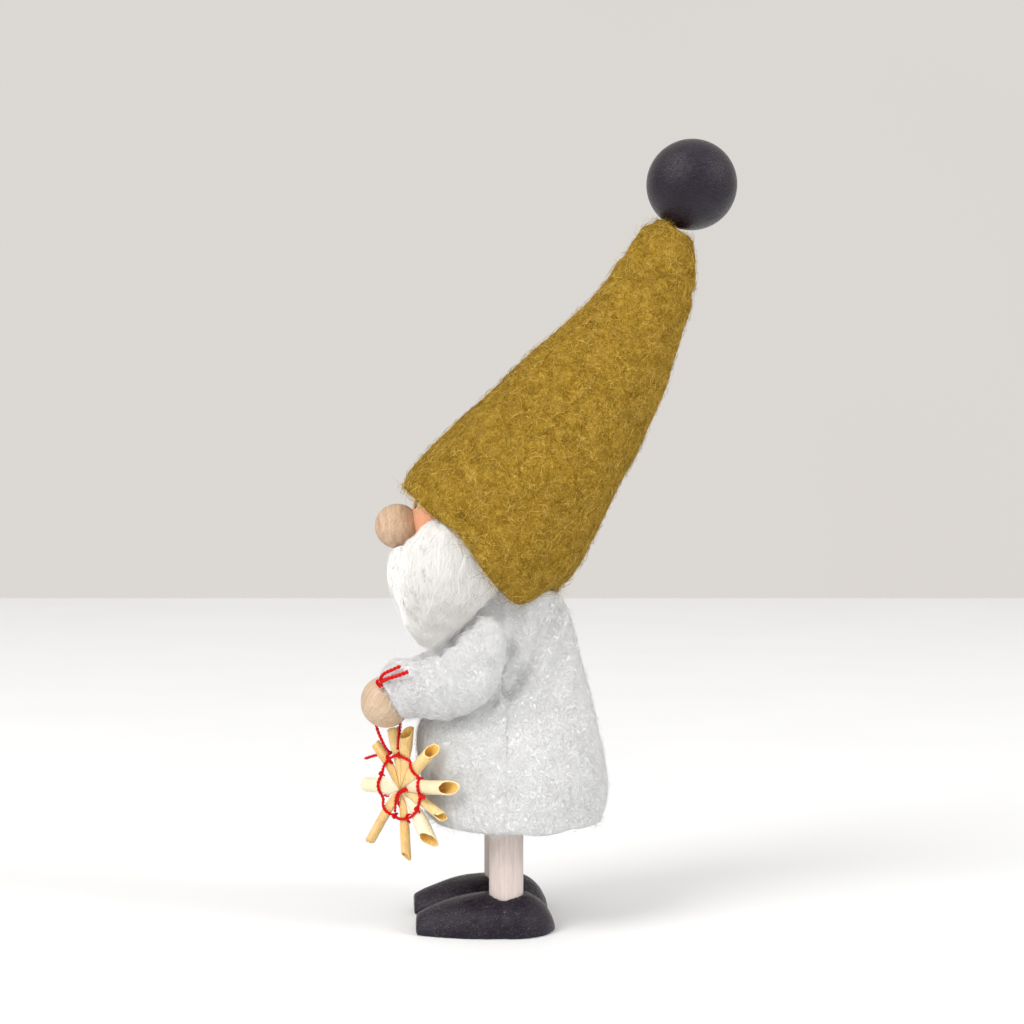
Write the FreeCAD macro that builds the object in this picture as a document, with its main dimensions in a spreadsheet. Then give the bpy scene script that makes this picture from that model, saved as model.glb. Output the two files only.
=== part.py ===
# Tomte gnome figurine: a standing felt-and-wood gnome that holds a straw star on a red thread.
# Millimetres. +Z is up, the gnome looks along -Y, and +X is its own left-hand side.
# The origin is on the ground under the middle of the figure.
import FreeCAD, Part
import Sketcher
import math
import os

os.makedirs("parts", exist_ok=True)
doc = FreeCAD.newDocument("tomte")
V = FreeCAD.Vector
X_AXIS = V(1, 0, 0)
Z_AXIS = V(0, 0, 1)

# ---------------------------------------------------------------------------------------------
# driving sizes
# ---------------------------------------------------------------------------------------------
SIZES = [
    ("leg_x", 8.5, "middle plane to leg axis"),
    ("leg_y", -9.0, "leg axis behind the origin"),
    ("leg_dia", 6.8, "leg dowel"),
    ("leg_foot", 2.2, "bottom of the leg inside the shoe"),
    ("leg_top", 38.0, "top of the leg inside the torso"),
    ("shoe_toe", 18.0, "leg axis to toe"),
    ("shoe_heel", 9.8, "leg axis to heel"),
    ("shoe_height", 7.7, "half-turned shoe, height and half width"),
    ("toe_height", 3.4, "blunt toe"),
    ("torso_y", -8.4, "turning axis of the torso"),
    ("torso_bottom", 27.0, "underside of the torso"),
    ("torso_top", 63.5, "shoulder end of the torso"),
    ("torso_low_dia", 26.4, "torso at its foot"),
    ("torso_high_dia", 11.8, "torso at the neck"),
    ("neck_y", -10.0, "neck dowel"),
    ("neck_dia", 6.0, "neck dowel"),
    ("neck_bottom", 50.0, "bottom of the neck dowel"),
    ("neck_top", 78.0, "top of the neck dowel"),
    ("head_y", -12.3, "centre of the head"),
    ("head_z", 82.2, "centre of the head"),
    ("head_dia", 30.0, "head ball"),
    ("nose_y", -30.3, "centre of the nose"),
    ("nose_z", 80.1, "centre of the nose"),
    ("nose_dia", 9.0, "nose bead"),
    ("hat_tilt", 31.2, "hat leans back, degrees"),
    ("hat_y", -13.3, "centre of the hat brim"),
    ("hat_z", 77.2, "centre of the hat brim"),
    ("felt", 2.0, "thickness of the felt"),
    ("hat_ball_dia", 18.2, "ball on the hat"),
    ("hat_ball_y", 28.9, "centre of the hat ball"),
    ("hat_ball_z", 148.5, "centre of the hat ball"),
    ("peg_dia", 3.0, "peg between hat and ball"),
    ("peg_length", 16.0, "peg between hat and ball"),
    ("coat_hem", 20.8, "hem above the ground"),
    ("seam_y", -10.0, "side seams of the coat"),
    ("shoulder_x", 15.5, "middle of a sleeve at the shoulder"),
    ("shoulder_y", -13.0, "shoulder bar"),
    ("shoulder_z", 58.2, "shoulder bar"),
    ("wire_dia", 1.6, "arm wire"),
    ("wire_fit", 0.06, "play around the shoulder bar, on the radius"),
    ("hand_dia", 10.0, "hand bead"),
    ("hand_x", 6.5, "centre of the left hand"),
    ("hand_y", -32.75, "centre of both hands"),
    ("hand_z", 45.5, "centre of the left hand"),
    ("far_hand_x", -3.45, "centre of the right hand"),
    ("far_hand_z", 44.5, "centre of the right hand"),
    ("star_x", 5.3, "middle of the star"),
    ("star_y", -29.5, "middle of the star"),
    ("star_z", 28.4, "middle of the star"),
    ("star_turn", 52.0, "star turned about the vertical, degrees"),
    ("straw_wall", 0.3, "wall of a straw"),
    ("straw_pitch", 0.6, "from one pressed-flat straw to the next"),
    ("thread_dia", 0.6, "red thread"),
]

sheet = doc.addObject("Spreadsheet::Sheet", "sizes")
for row, (alias, value, note) in enumerate(SIZES, start=1):
    sheet.set(f"A{row}", note)
    sheet.set(f"B{row}", str(value))
    sheet.setAlias(f"B{row}", alias)
doc.recompute()


class Dim:
    """A number that remembers the spreadsheet formula it came from."""

    def __init__(self, value, text):
        self.value = float(value)
        self.text = text

    def joined(self, sign, other, value):
        return Dim(value, f"({self.text} {sign} {wording(other)})")

    def __add__(self, other):
        return self.joined("+", other, self.value + number(other))

    def __sub__(self, other):
        return self.joined("-", other, self.value - number(other))

    def __mul__(self, other):
        return self.joined("*", other, self.value * number(other))

    def __truediv__(self, other):
        return self.joined("/", other, self.value / number(other))

    def __neg__(self):
        return Dim(-self.value, f"(0 - {self.text})")


def number(item):
    return item.value if isinstance(item, Dim) else float(item)


def wording(item):
    return item.text if isinstance(item, Dim) else f"{float(item):.4f}"


S = {alias: Dim(sheet.get(alias), f"sizes.{alias}") for alias, _, _ in SIZES}


def bind(item, name, dim):
    """Drive one property of a document object from the sheet."""
    item.setExpression(name, wording(dim))


def place(item, x=0.0, y=0.0, z=0.0, turn=None):
    item.Placement = FreeCAD.Placement(V(number(x), number(y), number(z)), turn or FreeCAD.Rotation())
    for letter, dim in zip("xyz", (x, y, z)):
        if isinstance(dim, Dim):
            bind(item, f"Placement.Base.{letter}", dim)
    return item


# ---------------------------------------------------------------------------------------------
# wooden parts: bodies with sketches
# ---------------------------------------------------------------------------------------------
def new_body(name):
    return doc.addObject("PartDesign::Body", name)


def new_sketch(body, name, role="XY_Plane", lift=0.0):
    sketch = body.newObject("Sketcher::SketchObject", name)
    plane = next(item for item in body.Origin.OriginFeatures if item.Role == role)
    sketch.AttachmentSupport = [(plane, "")]
    sketch.MapMode = "FlatFace"
    sketch.AttachmentOffset = FreeCAD.Placement(V(0, 0, number(lift)), FreeCAD.Rotation())
    if isinstance(lift, Dim):
        bind(sketch, "AttachmentOffset.Base.z", lift)
    return sketch


def size_constraint(sketch, kind, parts, dim):
    index = sketch.addConstraint(Sketcher.Constraint(kind, *parts, number(dim)))
    if isinstance(dim, Dim):
        bind(sketch, f"Constraints[{index}]", dim)


def add_circle(sketch, diameter, x=0.0, y=0.0):
    centre = V(number(x), number(y), 0)
    ring = sketch.addGeometry(Part.Circle(centre, Z_AXIS, number(diameter) / 2))
    size_constraint(sketch, "Diameter", (ring,), diameter)
    size_constraint(sketch, "DistanceX", (-1, 1, ring, 3), x)
    size_constraint(sketch, "DistanceY", (-1, 1, ring, 3), y)


def add_outline(sketch, corners):
    """Closed outline: each corner is (x, y, mid), where mid is None or a point its arc passes."""
    points = [V(number(x), number(y), 0) for x, y, _ in corners]
    edges = []
    for index, (_, _, mid) in enumerate(corners):
        start = points[index]
        end = points[(index + 1) % len(points)]
        if mid:
            edges.append(Part.Arc(start, V(number(mid[0]), number(mid[1]), 0), end))
        else:
            edges.append(Part.LineSegment(start, end))
    for index, edge in enumerate(edges):
        sketch.addGeometry(edge)
    for index, (x, y, _) in enumerate(corners):
        start_end = 1
        if corners[index][2] and not same(sketch.getPoint(index, 1), points[index]):
            start_end = 2
        size_constraint(sketch, "DistanceX", (-1, 1, index, start_end), x)
        size_constraint(sketch, "DistanceY", (-1, 1, index, start_end), y)
        previous = (index - 1) % len(corners)
        tail = 2 if same(sketch.getPoint(previous, 2), points[index]) else 1
        sketch.addConstraint(Sketcher.Constraint("Coincident", previous, tail, index, start_end))


def same(first, second):
    return (first - second).Length < 1e-6


def revolve(body, sketch, name, angle=360.0, axis="V_Axis"):
    turned = body.newObject("PartDesign::Revolution", name)
    turned.Profile = sketch
    turned.ReferenceAxis = (sketch, [axis])
    turned.Angle = angle
    return turned


def pad(body, sketch, name, length):
    block = body.newObject("PartDesign::Pad", name)
    block.Profile = sketch
    bind(block, "Length", length)
    return block


def pocket(body, sketch, name, depth, upward=False, both_ways=False):
    """Cut the sketch into the body and make sure that it took something away."""
    doc.recompute()
    before = body.Shape.Volume
    cut = body.newObject("PartDesign::Pocket", name)
    cut.Profile = sketch
    bind(cut, "Length", depth)
    cut.Reversed = upward
    cut.Midplane = both_ways
    doc.recompute()
    if body.Shape.Volume > before - 1e-3:
        raise RuntimeError(f"{name} cut nothing")
    return cut


def turned_ball(name, diameter):
    body = new_body(name)
    sketch = new_sketch(body, f"{name}_half", "XZ_Plane")
    radius = diameter / 2
    add_outline(sketch, [(0, -radius, (radius, 0)), (0, radius, None)])
    revolve(body, sketch, f"{name}_turned")
    return body


def dowel(name, diameter, length, chamfer=0.4):
    body = new_body(name)
    sketch = new_sketch(body, f"{name}_round")
    add_circle(sketch, diameter)
    block = pad(body, sketch, f"{name}_length", length)
    doc.recompute()
    edges = [f"Edge{i + 1}" for i, edge in enumerate(block.Shape.Edges) if edge.Closed]
    bevel = body.newObject("PartDesign::Chamfer", f"{name}_bevel")
    bevel.Base = (block, edges)
    bevel.Size = chamfer
    return body


def make_shoe(name, side):
    """Half of a turned shape lying on its flat sole, with a socket for the leg."""
    body = new_body(name)
    sketch = new_sketch(body, f"{name}_outline")
    height = S["shoe_height"]
    toe = S["toe_height"]
    corners = [
        (0, -S["shoe_toe"], None),
        (toe, -S["shoe_toe"], (height * 0.86, -S["shoe_toe"] * 0.56)),
        (height, -S["shoe_toe"] * 0.06, (height * 0.84, S["shoe_heel"] * 0.62)),
        (0, S["shoe_heel"], None),
    ]
    add_outline(sketch, corners)
    turned = revolve(body, sketch, f"{name}_half_turned", 180.0)
    doc.recompute()
    if body.Shape.BoundBox.ZMin < -1:
        turned.Reversed = True
    socket = new_sketch(body, f"{name}_socket", lift=S["shoe_height"] + 1)
    add_circle(socket, S["leg_dia"])
    pocket(body, socket, f"{name}_socket_cut", S["shoe_height"] + 1 - S["leg_foot"])
    return place(body, S["leg_x"] * side, S["leg_y"], 0)


def make_leg(name, side):
    body = dowel(name, S["leg_dia"], S["leg_top"] - S["leg_foot"])
    return place(body, S["leg_x"] * side, S["leg_y"], S["leg_foot"])


def make_torso(name):
    """Turned block with two leg sockets, a neck bore and the cross bore of the shoulder bar."""
    body = new_body(name)
    sketch = new_sketch(body, f"{name}_outline", "XZ_Plane")
    tall = S["torso_top"] - S["torso_bottom"]
    low = S["torso_low_dia"] / 2
    high = S["torso_high_dia"] / 2
    corners = [
        (0, 0, None),
        (low, 0, None),
        (low, tall * 0.12, (low * 0.66, tall * 0.55)),
        (high, tall * 0.93, (high * 0.85, tall * 0.98)),
        (high * 0.6, tall, None),
        (0, tall, None),
    ]
    add_outline(sketch, corners)
    revolve(body, sketch, f"{name}_turned")
    legs = new_sketch(body, f"{name}_leg_sockets")
    for side in (-1, 1):
        add_circle(legs, S["leg_dia"], S["leg_x"] * side, S["leg_y"] - S["torso_y"])
    pocket(body, legs, f"{name}_leg_bores", S["leg_top"] - S["torso_bottom"], upward=True)
    neck = new_sketch(body, f"{name}_neck_socket", lift=tall)
    add_circle(neck, S["neck_dia"], 0, S["neck_y"] - S["torso_y"])
    pocket(body, neck, f"{name}_neck_bore", S["torso_top"] - S["neck_bottom"])
    bar = new_sketch(body, f"{name}_bar_round", "YZ_Plane")
    add_circle(
        bar,
        S["wire_dia"] + S["wire_fit"] * 2,
        S["shoulder_y"] - S["torso_y"],
        S["shoulder_z"] - S["torso_bottom"],
    )
    pocket(body, bar, f"{name}_bar_bore", S["torso_low_dia"] * 2, both_ways=True)
    return place(body, 0, S["torso_y"], S["torso_bottom"])


def make_neck(name):
    """Neck dowel, notched where the shoulder bar passes in front of it."""
    body = dowel(name, S["neck_dia"], S["neck_top"] - S["neck_bottom"])
    notch = new_sketch(body, f"{name}_notch_round", "YZ_Plane")
    add_circle(
        notch,
        S["wire_dia"] + S["wire_fit"] * 2,
        S["shoulder_y"] - S["neck_y"],
        S["shoulder_z"] - S["neck_bottom"],
    )
    pocket(body, notch, f"{name}_notch", S["neck_dia"] * 2, both_ways=True)
    return place(body, 0, S["neck_y"], S["neck_bottom"])


def make_head(name):
    """Wooden ball with a bore for the neck and a flat for the nose."""
    body = turned_ball(name, S["head_dia"])
    neck = new_sketch(body, f"{name}_neck_socket", lift=-(S["head_dia"] / 2))
    add_circle(neck, S["neck_dia"], 0, S["neck_y"] - S["head_y"])
    depth = S["neck_top"] - S["head_z"] + S["head_dia"] / 2
    pocket(body, neck, f"{name}_neck_bore", depth, upward=True)
    return place(body, 0, S["head_y"], S["head_z"])


def make_nose(name):
    """Bead glued to the front of the head: the head's curve is hollowed out of its back."""
    bead = turned_ball(f"{name}_bead", S["nose_dia"])
    place(bead, 0, S["nose_y"], S["nose_z"])
    seat = doc.addObject("Part::Sphere", f"{name}_seat")
    bind(seat, "Radius", S["head_dia"] / 2)
    place(seat, 0, S["head_y"], S["head_z"])
    return cut(name, bead, seat)


def make_hat_ball(name):
    """Ball with a blind bore along the line of the hat for the peg."""
    body = turned_ball(name, S["hat_ball_dia"])
    bore = new_sketch(body, f"{name}_peg_round", lift=-(S["hat_ball_dia"] / 2))
    add_circle(bore, S["peg_dia"])
    pocket(body, bore, f"{name}_peg_bore", S["peg_length"] * 0.6, upward=True)
    return place(body, 0, S["hat_ball_y"], S["hat_ball_z"], hat_rotation())


def make_hat_peg(name):
    body = dowel(name, S["peg_dia"], S["peg_length"], 0.3)
    below = S["hat_ball_dia"] / 2 + S["peg_length"] * 0.4
    lean = math.radians(S["hat_tilt"].value)
    return place(
        body,
        0,
        S["hat_ball_y"] - below * math.sin(lean),
        S["hat_ball_z"] - below * math.cos(lean),
        hat_rotation(),
    )


def make_hand(name, x, z):
    """Wooden bead, drilled from behind for the end of the arm wire."""
    body = turned_ball(name, S["hand_dia"])
    bore = new_sketch(body, f"{name}_wire_round", lift=S["hand_dia"] / 2)
    add_circle(bore, S["wire_dia"])
    pocket(body, bore, f"{name}_wire_bore", S["hand_dia"] * 0.5)
    start, end = wire_end(x, z)
    return place(body, x, S["hand_y"], z, FreeCAD.Rotation(Z_AXIS, start - end))


# ---------------------------------------------------------------------------------------------
# felt and wool parts: lofts through ovals
# ---------------------------------------------------------------------------------------------
def oval(name, centre, across, deep, turn=None):
    """Closed oval section lying across its own Z axis; `deep` is measured along its own Y."""
    steps = 16
    points = []
    for step in range(steps):
        angle = 2 * math.pi * step / steps
        points.append(V(number(across) * math.cos(angle), number(deep) * math.sin(angle), 0))
    curve = Part.BSplineCurve()
    curve.interpolate(Points=points, PeriodicFlag=True)
    section = doc.addObject("Part::Feature", name)
    section.Shape = Part.Wire([curve.toShape()])
    return place(section, *centre, turn=turn)


def loft(name, sections, ruled=False):
    skin = doc.addObject("Part::Loft", name)
    skin.Sections = sections
    skin.Solid = True
    skin.Ruled = ruled
    return skin


def cut(name, base, tool):
    result = doc.addObject("Part::Cut", name)
    result.Base = base
    result.Tool = tool
    return result


def cut_each(name, base, tools):
    """Take the tools away one after another."""
    for index, tool in enumerate(tools[:-1]):
        base = cut(f"{name}_cut_{index}", base, tool)
    return cut(name, base, tools[-1])


def common(name, base, tool):
    result = doc.addObject("Part::Common", name)
    result.Base = base
    result.Tool = tool
    return result


def fuse(name, shapes):
    result = doc.addObject("Part::MultiFuse", name)
    result.Shapes = shapes
    return result


def hat_rotation(extra=0.0):
    return FreeCAD.Rotation(X_AXIS, -(S["hat_tilt"].value + extra))


# Hat sections: how far up the hat, how far its middle line bows back, radius, extra lean.
HAT_SECTIONS = [
    (-1.6, -0.4, 19.2, 8.0),
    (8.0, 0.3, 19.3, 3.0),
    (20.0, 1.1, 17.0, 0.0),
    (32.0, 2.5, 15.0, 0.0),
    (45.0, 3.6, 12.2, 0.0),
    (58.0, 4.1, 8.5, 0.0),
    (66.0, 3.4, 6.0, 0.0),
    (73.4, 0.9, 4.3, 0.0),
]


def hat_loft(name, shrink, first_drop, last):
    """The hat's outside (shrink 0) or the space inside it."""
    lean = math.radians(S["hat_tilt"].value)
    sections = []
    for index, (along, bow, radius, extra) in enumerate(HAT_SECTIONS[:last]):
        if index == 0:
            along = along - first_drop
        y = S["hat_y"] + along * math.sin(lean) + bow * math.cos(lean)
        z = S["hat_z"] + along * math.cos(lean) - bow * math.sin(lean)
        ring = oval(f"{name}_ring_{index}", (0, y, z), radius - shrink, radius - shrink, hat_rotation(extra))
        sections.append(ring)
    return loft(name, sections)


def make_hat(name, head_room, peg_room, ball_room):
    outside = hat_loft("hat_outside", 0.0, 0.0, len(HAT_SECTIONS))
    inside = hat_loft("hat_inside", S["felt"].value, 0.5, len(HAT_SECTIONS) - 2)
    return outside, cut(name, outside, fuse("hat_hollow", [inside, head_room, peg_room, ball_room]))


# Coat sections: height above the hem, half width, front and back (Y).
COAT_SECTIONS = [
    (0.0, 18.7, -23.4, 10.6),
    (4.0, 19.1, -25.2, 11.8),
    (11.5, 18.3, -26.0, 11.6),
    (19.0, 16.4, -26.2, 10.2),
    (25.0, 13.2, -22.6, 8.8),
    (31.0, 10.9, -19.4, 7.2),
    (38.0, 9.5, -17.6, 5.3),
    (44.0, 9.0, -16.8, 3.6),
]


def coat_loft(name, shrink, stretch):
    sections = []
    for index, (up, half, front, back) in enumerate(COAT_SECTIONS):
        z = S["coat_hem"] + up
        if index == 0:
            z = z - stretch
        if index == len(COAT_SECTIONS) - 1:
            z = z + stretch
        deep = (back - front) / 2 - shrink
        ring = oval(f"{name}_ring_{index}", (0, (back + front) / 2, z), half - shrink, deep)
        sections.append(ring)
    return loft(name, sections)


def half_space(name, y_min, y_max):
    block = doc.addObject("Part::Box", name)
    block.Length = 80
    block.Width = y_max - y_min
    block.Height = 120
    place(block, -40, y_min, -10)
    return block


def shoulder_hole(name, radius):
    rod = doc.addObject("Part::Cylinder", name)
    rod.Radius = radius
    rod.Height = 80
    return place(rod, -40, S["shoulder_y"], S["shoulder_z"], FreeCAD.Rotation(V(0, 1, 0), 90))


def make_coat(hat_outside):
    """Two felt panels that meet at the side seams, open below, with a hole at each shoulder."""
    outside = coat_loft("coat_outside", 0.0, 0.0)
    inside = coat_loft("coat_inside", S["felt"].value, 0.5)
    gone = fuse("coat_gone", [inside, hat_outside, shoulder_hole("coat_arm_hole", 2.2)])
    shell = cut("coat_shell", outside, gone)
    seam = S["seam_y"].value
    front = common("coat_front", shell, half_space("front_space", seam - 60, seam))
    back = common("coat_back", shell, half_space("back_space", seam, seam + 60))
    return front, back


# Beard sections: height, middle (Y), half width, half depth.
BEARD_SECTIONS = [
    (57.6, -24.2, 2.6, 1.6),
    (59.5, -23.2, 5.5, 4.4),
    (63.0, -21.4, 9.8, 8.3),
    (67.5, -20.6, 13.6, 11.0),
    (72.0, -20.9, 15.8, 11.4),
    (77.0, -20.9, 16.6, 10.2),
    (82.5, -18.6, 16.4, 6.2),
]


def make_beard(name, keep_clear):
    sections = []
    for index, (z, y, half, deep) in enumerate(BEARD_SECTIONS):
        sections.append(oval(f"{name}_ring_{index}", (0, y, z), half, deep))
    wool = loft("beard_wool", sections)
    face = doc.addObject("Part::Box", "face_opening")
    face.Length = 18
    face.Width = 20
    face.Height = 20
    place(face, -9, S["head_y"] - 34, S["nose_z"] - 3.4)
    return cut_each(name, wool, [face] + keep_clear)


# ---------------------------------------------------------------------------------------------
# arms
# ---------------------------------------------------------------------------------------------
# Sleeve sections, from shoulder to cuff: share of the way in to the hand, middle (Y, Z),
# half thickness, half height, and how far the section faces down (degrees).
SLEEVE_SECTIONS = [
    (0.00, -13.0, 58.2, 3.6, 4.7, 53.0),
    (0.02, -15.8, 54.6, 3.7, 4.9, 50.0),
    (0.14, -19.6, 50.4, 3.8, 6.1, 30.0),
    (0.50, -25.4, 48.6, 3.7, 5.8, 16.0),
    (0.95, -31.2, 45.9, 3.6, 3.9, 18.0),
]


def sleeve_point(row, side, hand_x, drop):
    share, y, z, _, _, _ = row
    x = side * S["shoulder_x"].value * (1 - share) + hand_x.value * share
    return V(x, y, z - drop * share)


def sleeve_loft(name, side, hand_x, drop, shrink, stretch):
    points = [sleeve_point(row, side, hand_x, drop) for row in SLEEVE_SECTIONS]
    sections = []
    for index, (_, _, _, thick, tall, down) in enumerate(SLEEVE_SECTIONS):
        before = points[max(index - 1, 0)]
        after = points[min(index + 1, len(points) - 1)]
        inward = (after.x - before.x) / max(abs(after.y - before.y), 0.1)
        tilt = math.radians(down)
        facing = V(inward * math.cos(tilt), -math.cos(tilt), -math.sin(tilt)).normalize()
        upward = V(0, -math.sin(tilt), math.cos(tilt))
        across = upward.cross(facing).normalize()
        turn = FreeCAD.Rotation(across, upward, facing, "ZXY")
        point = points[index]
        if index == len(points) - 1:
            point = point + facing * stretch
        ring = oval(f"{name}_ring_{index}", (point.x, point.y, point.z), thick - shrink, tall - shrink, turn)
        sections.append(ring)
    return loft(name, sections)


def make_sleeve(name, side, hand_x, drop, hand_room, wire_room):
    """Felt tube with a rounded shoulder, hollow for the wire, open at the cuff."""
    tube = sleeve_loft(f"{name}_tube", side, hand_x, drop, 0.0, 0.0)
    cap = doc.addObject("Part::Ellipsoid", f"{name}_cap")
    cap.Radius1 = SLEEVE_SECTIONS[0][4]
    cap.Radius2 = SLEEVE_SECTIONS[0][4]
    cap.Radius3 = SLEEVE_SECTIONS[0][3]
    place(cap, S["shoulder_x"] * side, S["shoulder_y"], S["shoulder_z"])
    outside = fuse(f"{name}_outside", [tube, cap])
    hollow = sleeve_loft(f"{name}_hollow", side, hand_x, drop, 1.8, 2.0)
    hole = doc.addObject("Part::Cylinder", f"{name}_bar_hole")
    hole.Radius = 1.4
    hole.Height = S["shoulder_x"].value
    turn = FreeCAD.Rotation(V(0, 1, 0), 90 * side)
    place(hole, 0, S["shoulder_y"], S["shoulder_z"], turn)
    return outside, cut_each(name, outside, [hollow, hole, hand_room, wire_room])


def wire_end(x, z):
    """Last straight run of the arm wire: from inside the cuff to the middle of the hand."""
    side = 1 if number(x) > 0 else -1
    drop = S["hand_z"].value - number(z)
    row = SLEEVE_SECTIONS[3]
    inside = sleeve_point(row, side, Dim(number(x), ""), drop)
    hand = V(number(x), S["hand_y"].value, number(z))
    return V(inside.x, inside.y, inside.z), hand


def rounded_route(points):
    """Straight runs joined by tangent arcs, each as large as its shorter neighbour allows."""
    edges = []
    radii = []
    start = points[0]
    for index in range(1, len(points) - 1):
        corner = points[index]
        back = points[index - 1] - corner
        ahead = points[index + 1] - corner
        half_turn = (math.pi - back.getAngle(ahead)) / 2
        reach = 0.45 * min(back.Length, ahead.Length)
        radius = reach / math.tan(half_turn)
        first = corner + back.normalize() * reach
        last = corner + ahead.normalize() * reach
        inward = (back + ahead).normalize()
        middle = corner + inward * (radius / math.cos(half_turn) - radius)
        edges.append(Part.makeLine(start, first))
        edges.append(Part.Arc(first, middle, last).toShape())
        radii.append(radius)
        start = last
    edges.append(Part.makeLine(start, points[-1]))
    return Part.Wire(edges), radii


def make_tube(name, points, diameter):
    """Round rod or thread along a rounded route."""
    wire, radii = rounded_route(points)
    route = doc.addObject("Part::Feature", f"{name}_route")
    route.Shape = wire
    ring = doc.addObject("Part::Circle", f"{name}_round")
    bind(ring, "Radius", diameter / 2)
    facing = FreeCAD.Rotation(Z_AXIS, points[1] - points[0])
    place(ring, points[0].x, points[0].y, points[0].z, facing)
    tube = doc.addObject("Part::Sweep", name)
    tube.Sections = [ring]
    tube.Spine = (route, [f"Edge{i + 1}" for i in range(len(wire.Edges))])
    tube.Solid = True
    tube.Frenet = False
    expected = wire.Length * math.pi * diameter.value**2 / 4
    print(name, "length", round(wire.Length, 2), "bend radii", [round(item, 2) for item in radii])
    return tube, expected


def make_arm_wire(name, diameter):
    """One steel wire: through the torso, then down inside each sleeve into a hand bead."""
    points = []
    ends = ((-1, S["far_hand_x"], S["far_hand_z"]), (1, S["hand_x"], S["hand_z"]))
    for side, hand_x, hand_z in ends:
        start, hand = wire_end(hand_x, hand_z)
        drop = S["hand_z"].value - hand_z.value
        elbow = sleeve_point(SLEEVE_SECTIONS[2], side, hand_x, drop)
        shoulder = V(side * S["shoulder_x"].value, S["shoulder_y"].value, S["shoulder_z"].value)
        run = [hand, start, elbow, shoulder]
        if side > 0:
            run.reverse()
        points.extend(run)
    return make_tube(name, points, diameter)


# ---------------------------------------------------------------------------------------------
# star
# ---------------------------------------------------------------------------------------------
# The ten straw ends, in degrees clockwise from the top, with length and diameter.
RAYS = {
    "a": (342.0, 11.9, 2.5),
    "b": (7.4, 11.8, 2.7),
    "c": (48.3, 13.2, 2.5),
    "d": (83.0, 15.7, 2.8),
    "e": (109.6, 13.0, 2.0),
    "f": (141.8, 13.4, 3.1),
    "g": (175.4, 13.9, 2.0),
    "h": (219.8, 15.9, 2.0),
    "i": (264.6, 12.8, 2.9),
    "j": (310.1, 11.9, 2.0),
}
STRAWS = [("a", "f"), ("b", "g"), ("c", "h"), ("d", "i"), ("e", "j")]
STRAW_LAYERS = [0, 2, 4, 3, 1]
FLAT_REACH = 3.6
ROUND_REACH = 6.6


def star_middle():
    return V(S["star_x"].value, S["star_y"].value, S["star_z"].value)


def star_axes():
    turn = math.radians(S["star_turn"].value)
    along = V(math.sin(turn), math.cos(turn), 0)
    facing = V(math.cos(turn), -math.sin(turn), 0)
    return along, facing


def star_point(angle, radius, lift=0.0):
    """Point in the star's plane: angle clockwise from the top, lift towards its face."""
    along, facing = star_axes()
    turn = math.radians(angle)
    sideways, upward = radius * math.sin(turn), radius * math.cos(turn)
    return star_middle() + along * sideways + Z_AXIS * upward + facing * lift


def straw_lift(layer):
    """Each straw lies at its own height where they cross."""
    return (layer - 2) * S["straw_pitch"].value


def straw_section(name, angle, radius, lift, width, thickness, flip):
    _, facing = star_axes()
    outward = (star_point(angle, 1.0) - star_point(angle, 0.0)) * flip
    side = facing.cross(outward)
    turn = FreeCAD.Rotation(side, facing, outward, "ZXY")
    point = star_point(angle, radius, lift)
    return oval(name, (point.x, point.y, point.z), width / 2, thickness / 2, turn)


def make_straw(name, first, second, layer):
    """Round straw pressed flat where it crosses the others, open and cut slantwise at both ends."""
    pitch = S["straw_pitch"].value
    lift = straw_lift(layer)
    flat = pitch * 0.85
    sections = []
    hollows = []
    for flip, ray in ((-1, first), (1, second)):
        angle, length, width = RAYS[ray]
        wide = width * 1.25
        rows = [
            (length, width, width, lift),
            (ROUND_REACH, width, width, lift),
            (FLAT_REACH, wide, flat, lift),
        ]
        if flip > 0:
            rows.reverse()
        for index, (radius, across, thick, up) in enumerate(rows):
            ring = straw_section(f"{name}_{ray}_ring_{index}", angle, radius, up, across, thick, flip)
            sections.append(ring)
        hollows.append(make_hollow(f"{name}_{ray}", angle, length, width, lift))
        hollows.append(make_slant(f"{name}_{ray}", angle, length, width, lift))
    outside = loft(f"{name}_outside", sections, ruled=True)
    return cut_each(name, outside, hollows)


def make_hollow(name, angle, length, width, lift):
    """Space inside one end of a straw."""
    core = doc.addObject("Part::Cylinder", f"{name}_hollow")
    core.Radius = width / 2 - S["straw_wall"].value
    start = ROUND_REACH + 0.2
    core.Height = length - start + 1
    point = star_point(angle, start, lift)
    outward = star_point(angle, 1.0) - star_point(angle, 0.0)
    return place(core, point.x, point.y, point.z, FreeCAD.Rotation(Z_AXIS, outward))


def make_slant(name, angle, length, width, lift):
    """Block that takes the end of a straw off at a slant."""
    block = doc.addObject("Part::Box", f"{name}_slant")
    block.Length = 8
    block.Width = 8
    block.Height = 8
    _, facing = star_axes()
    outward = star_point(angle, 1.0) - star_point(angle, 0.0)
    slant = math.radians(40.0)
    normal = outward * math.cos(slant) + facing * math.sin(slant)
    side = facing.cross(outward)
    up = normal.cross(side)
    turn = FreeCAD.Rotation(side, up, normal, "ZXY")
    tip = star_point(angle, length, lift) - facing * (width / 2)
    corner = tip - side * 4 - up * 4
    return place(block, corner.x, corner.y, corner.z, turn)


RING_RADIUS = 6.3
THREAD_DIP = 0.5
KNOT_ANGLE = 326.0


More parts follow.
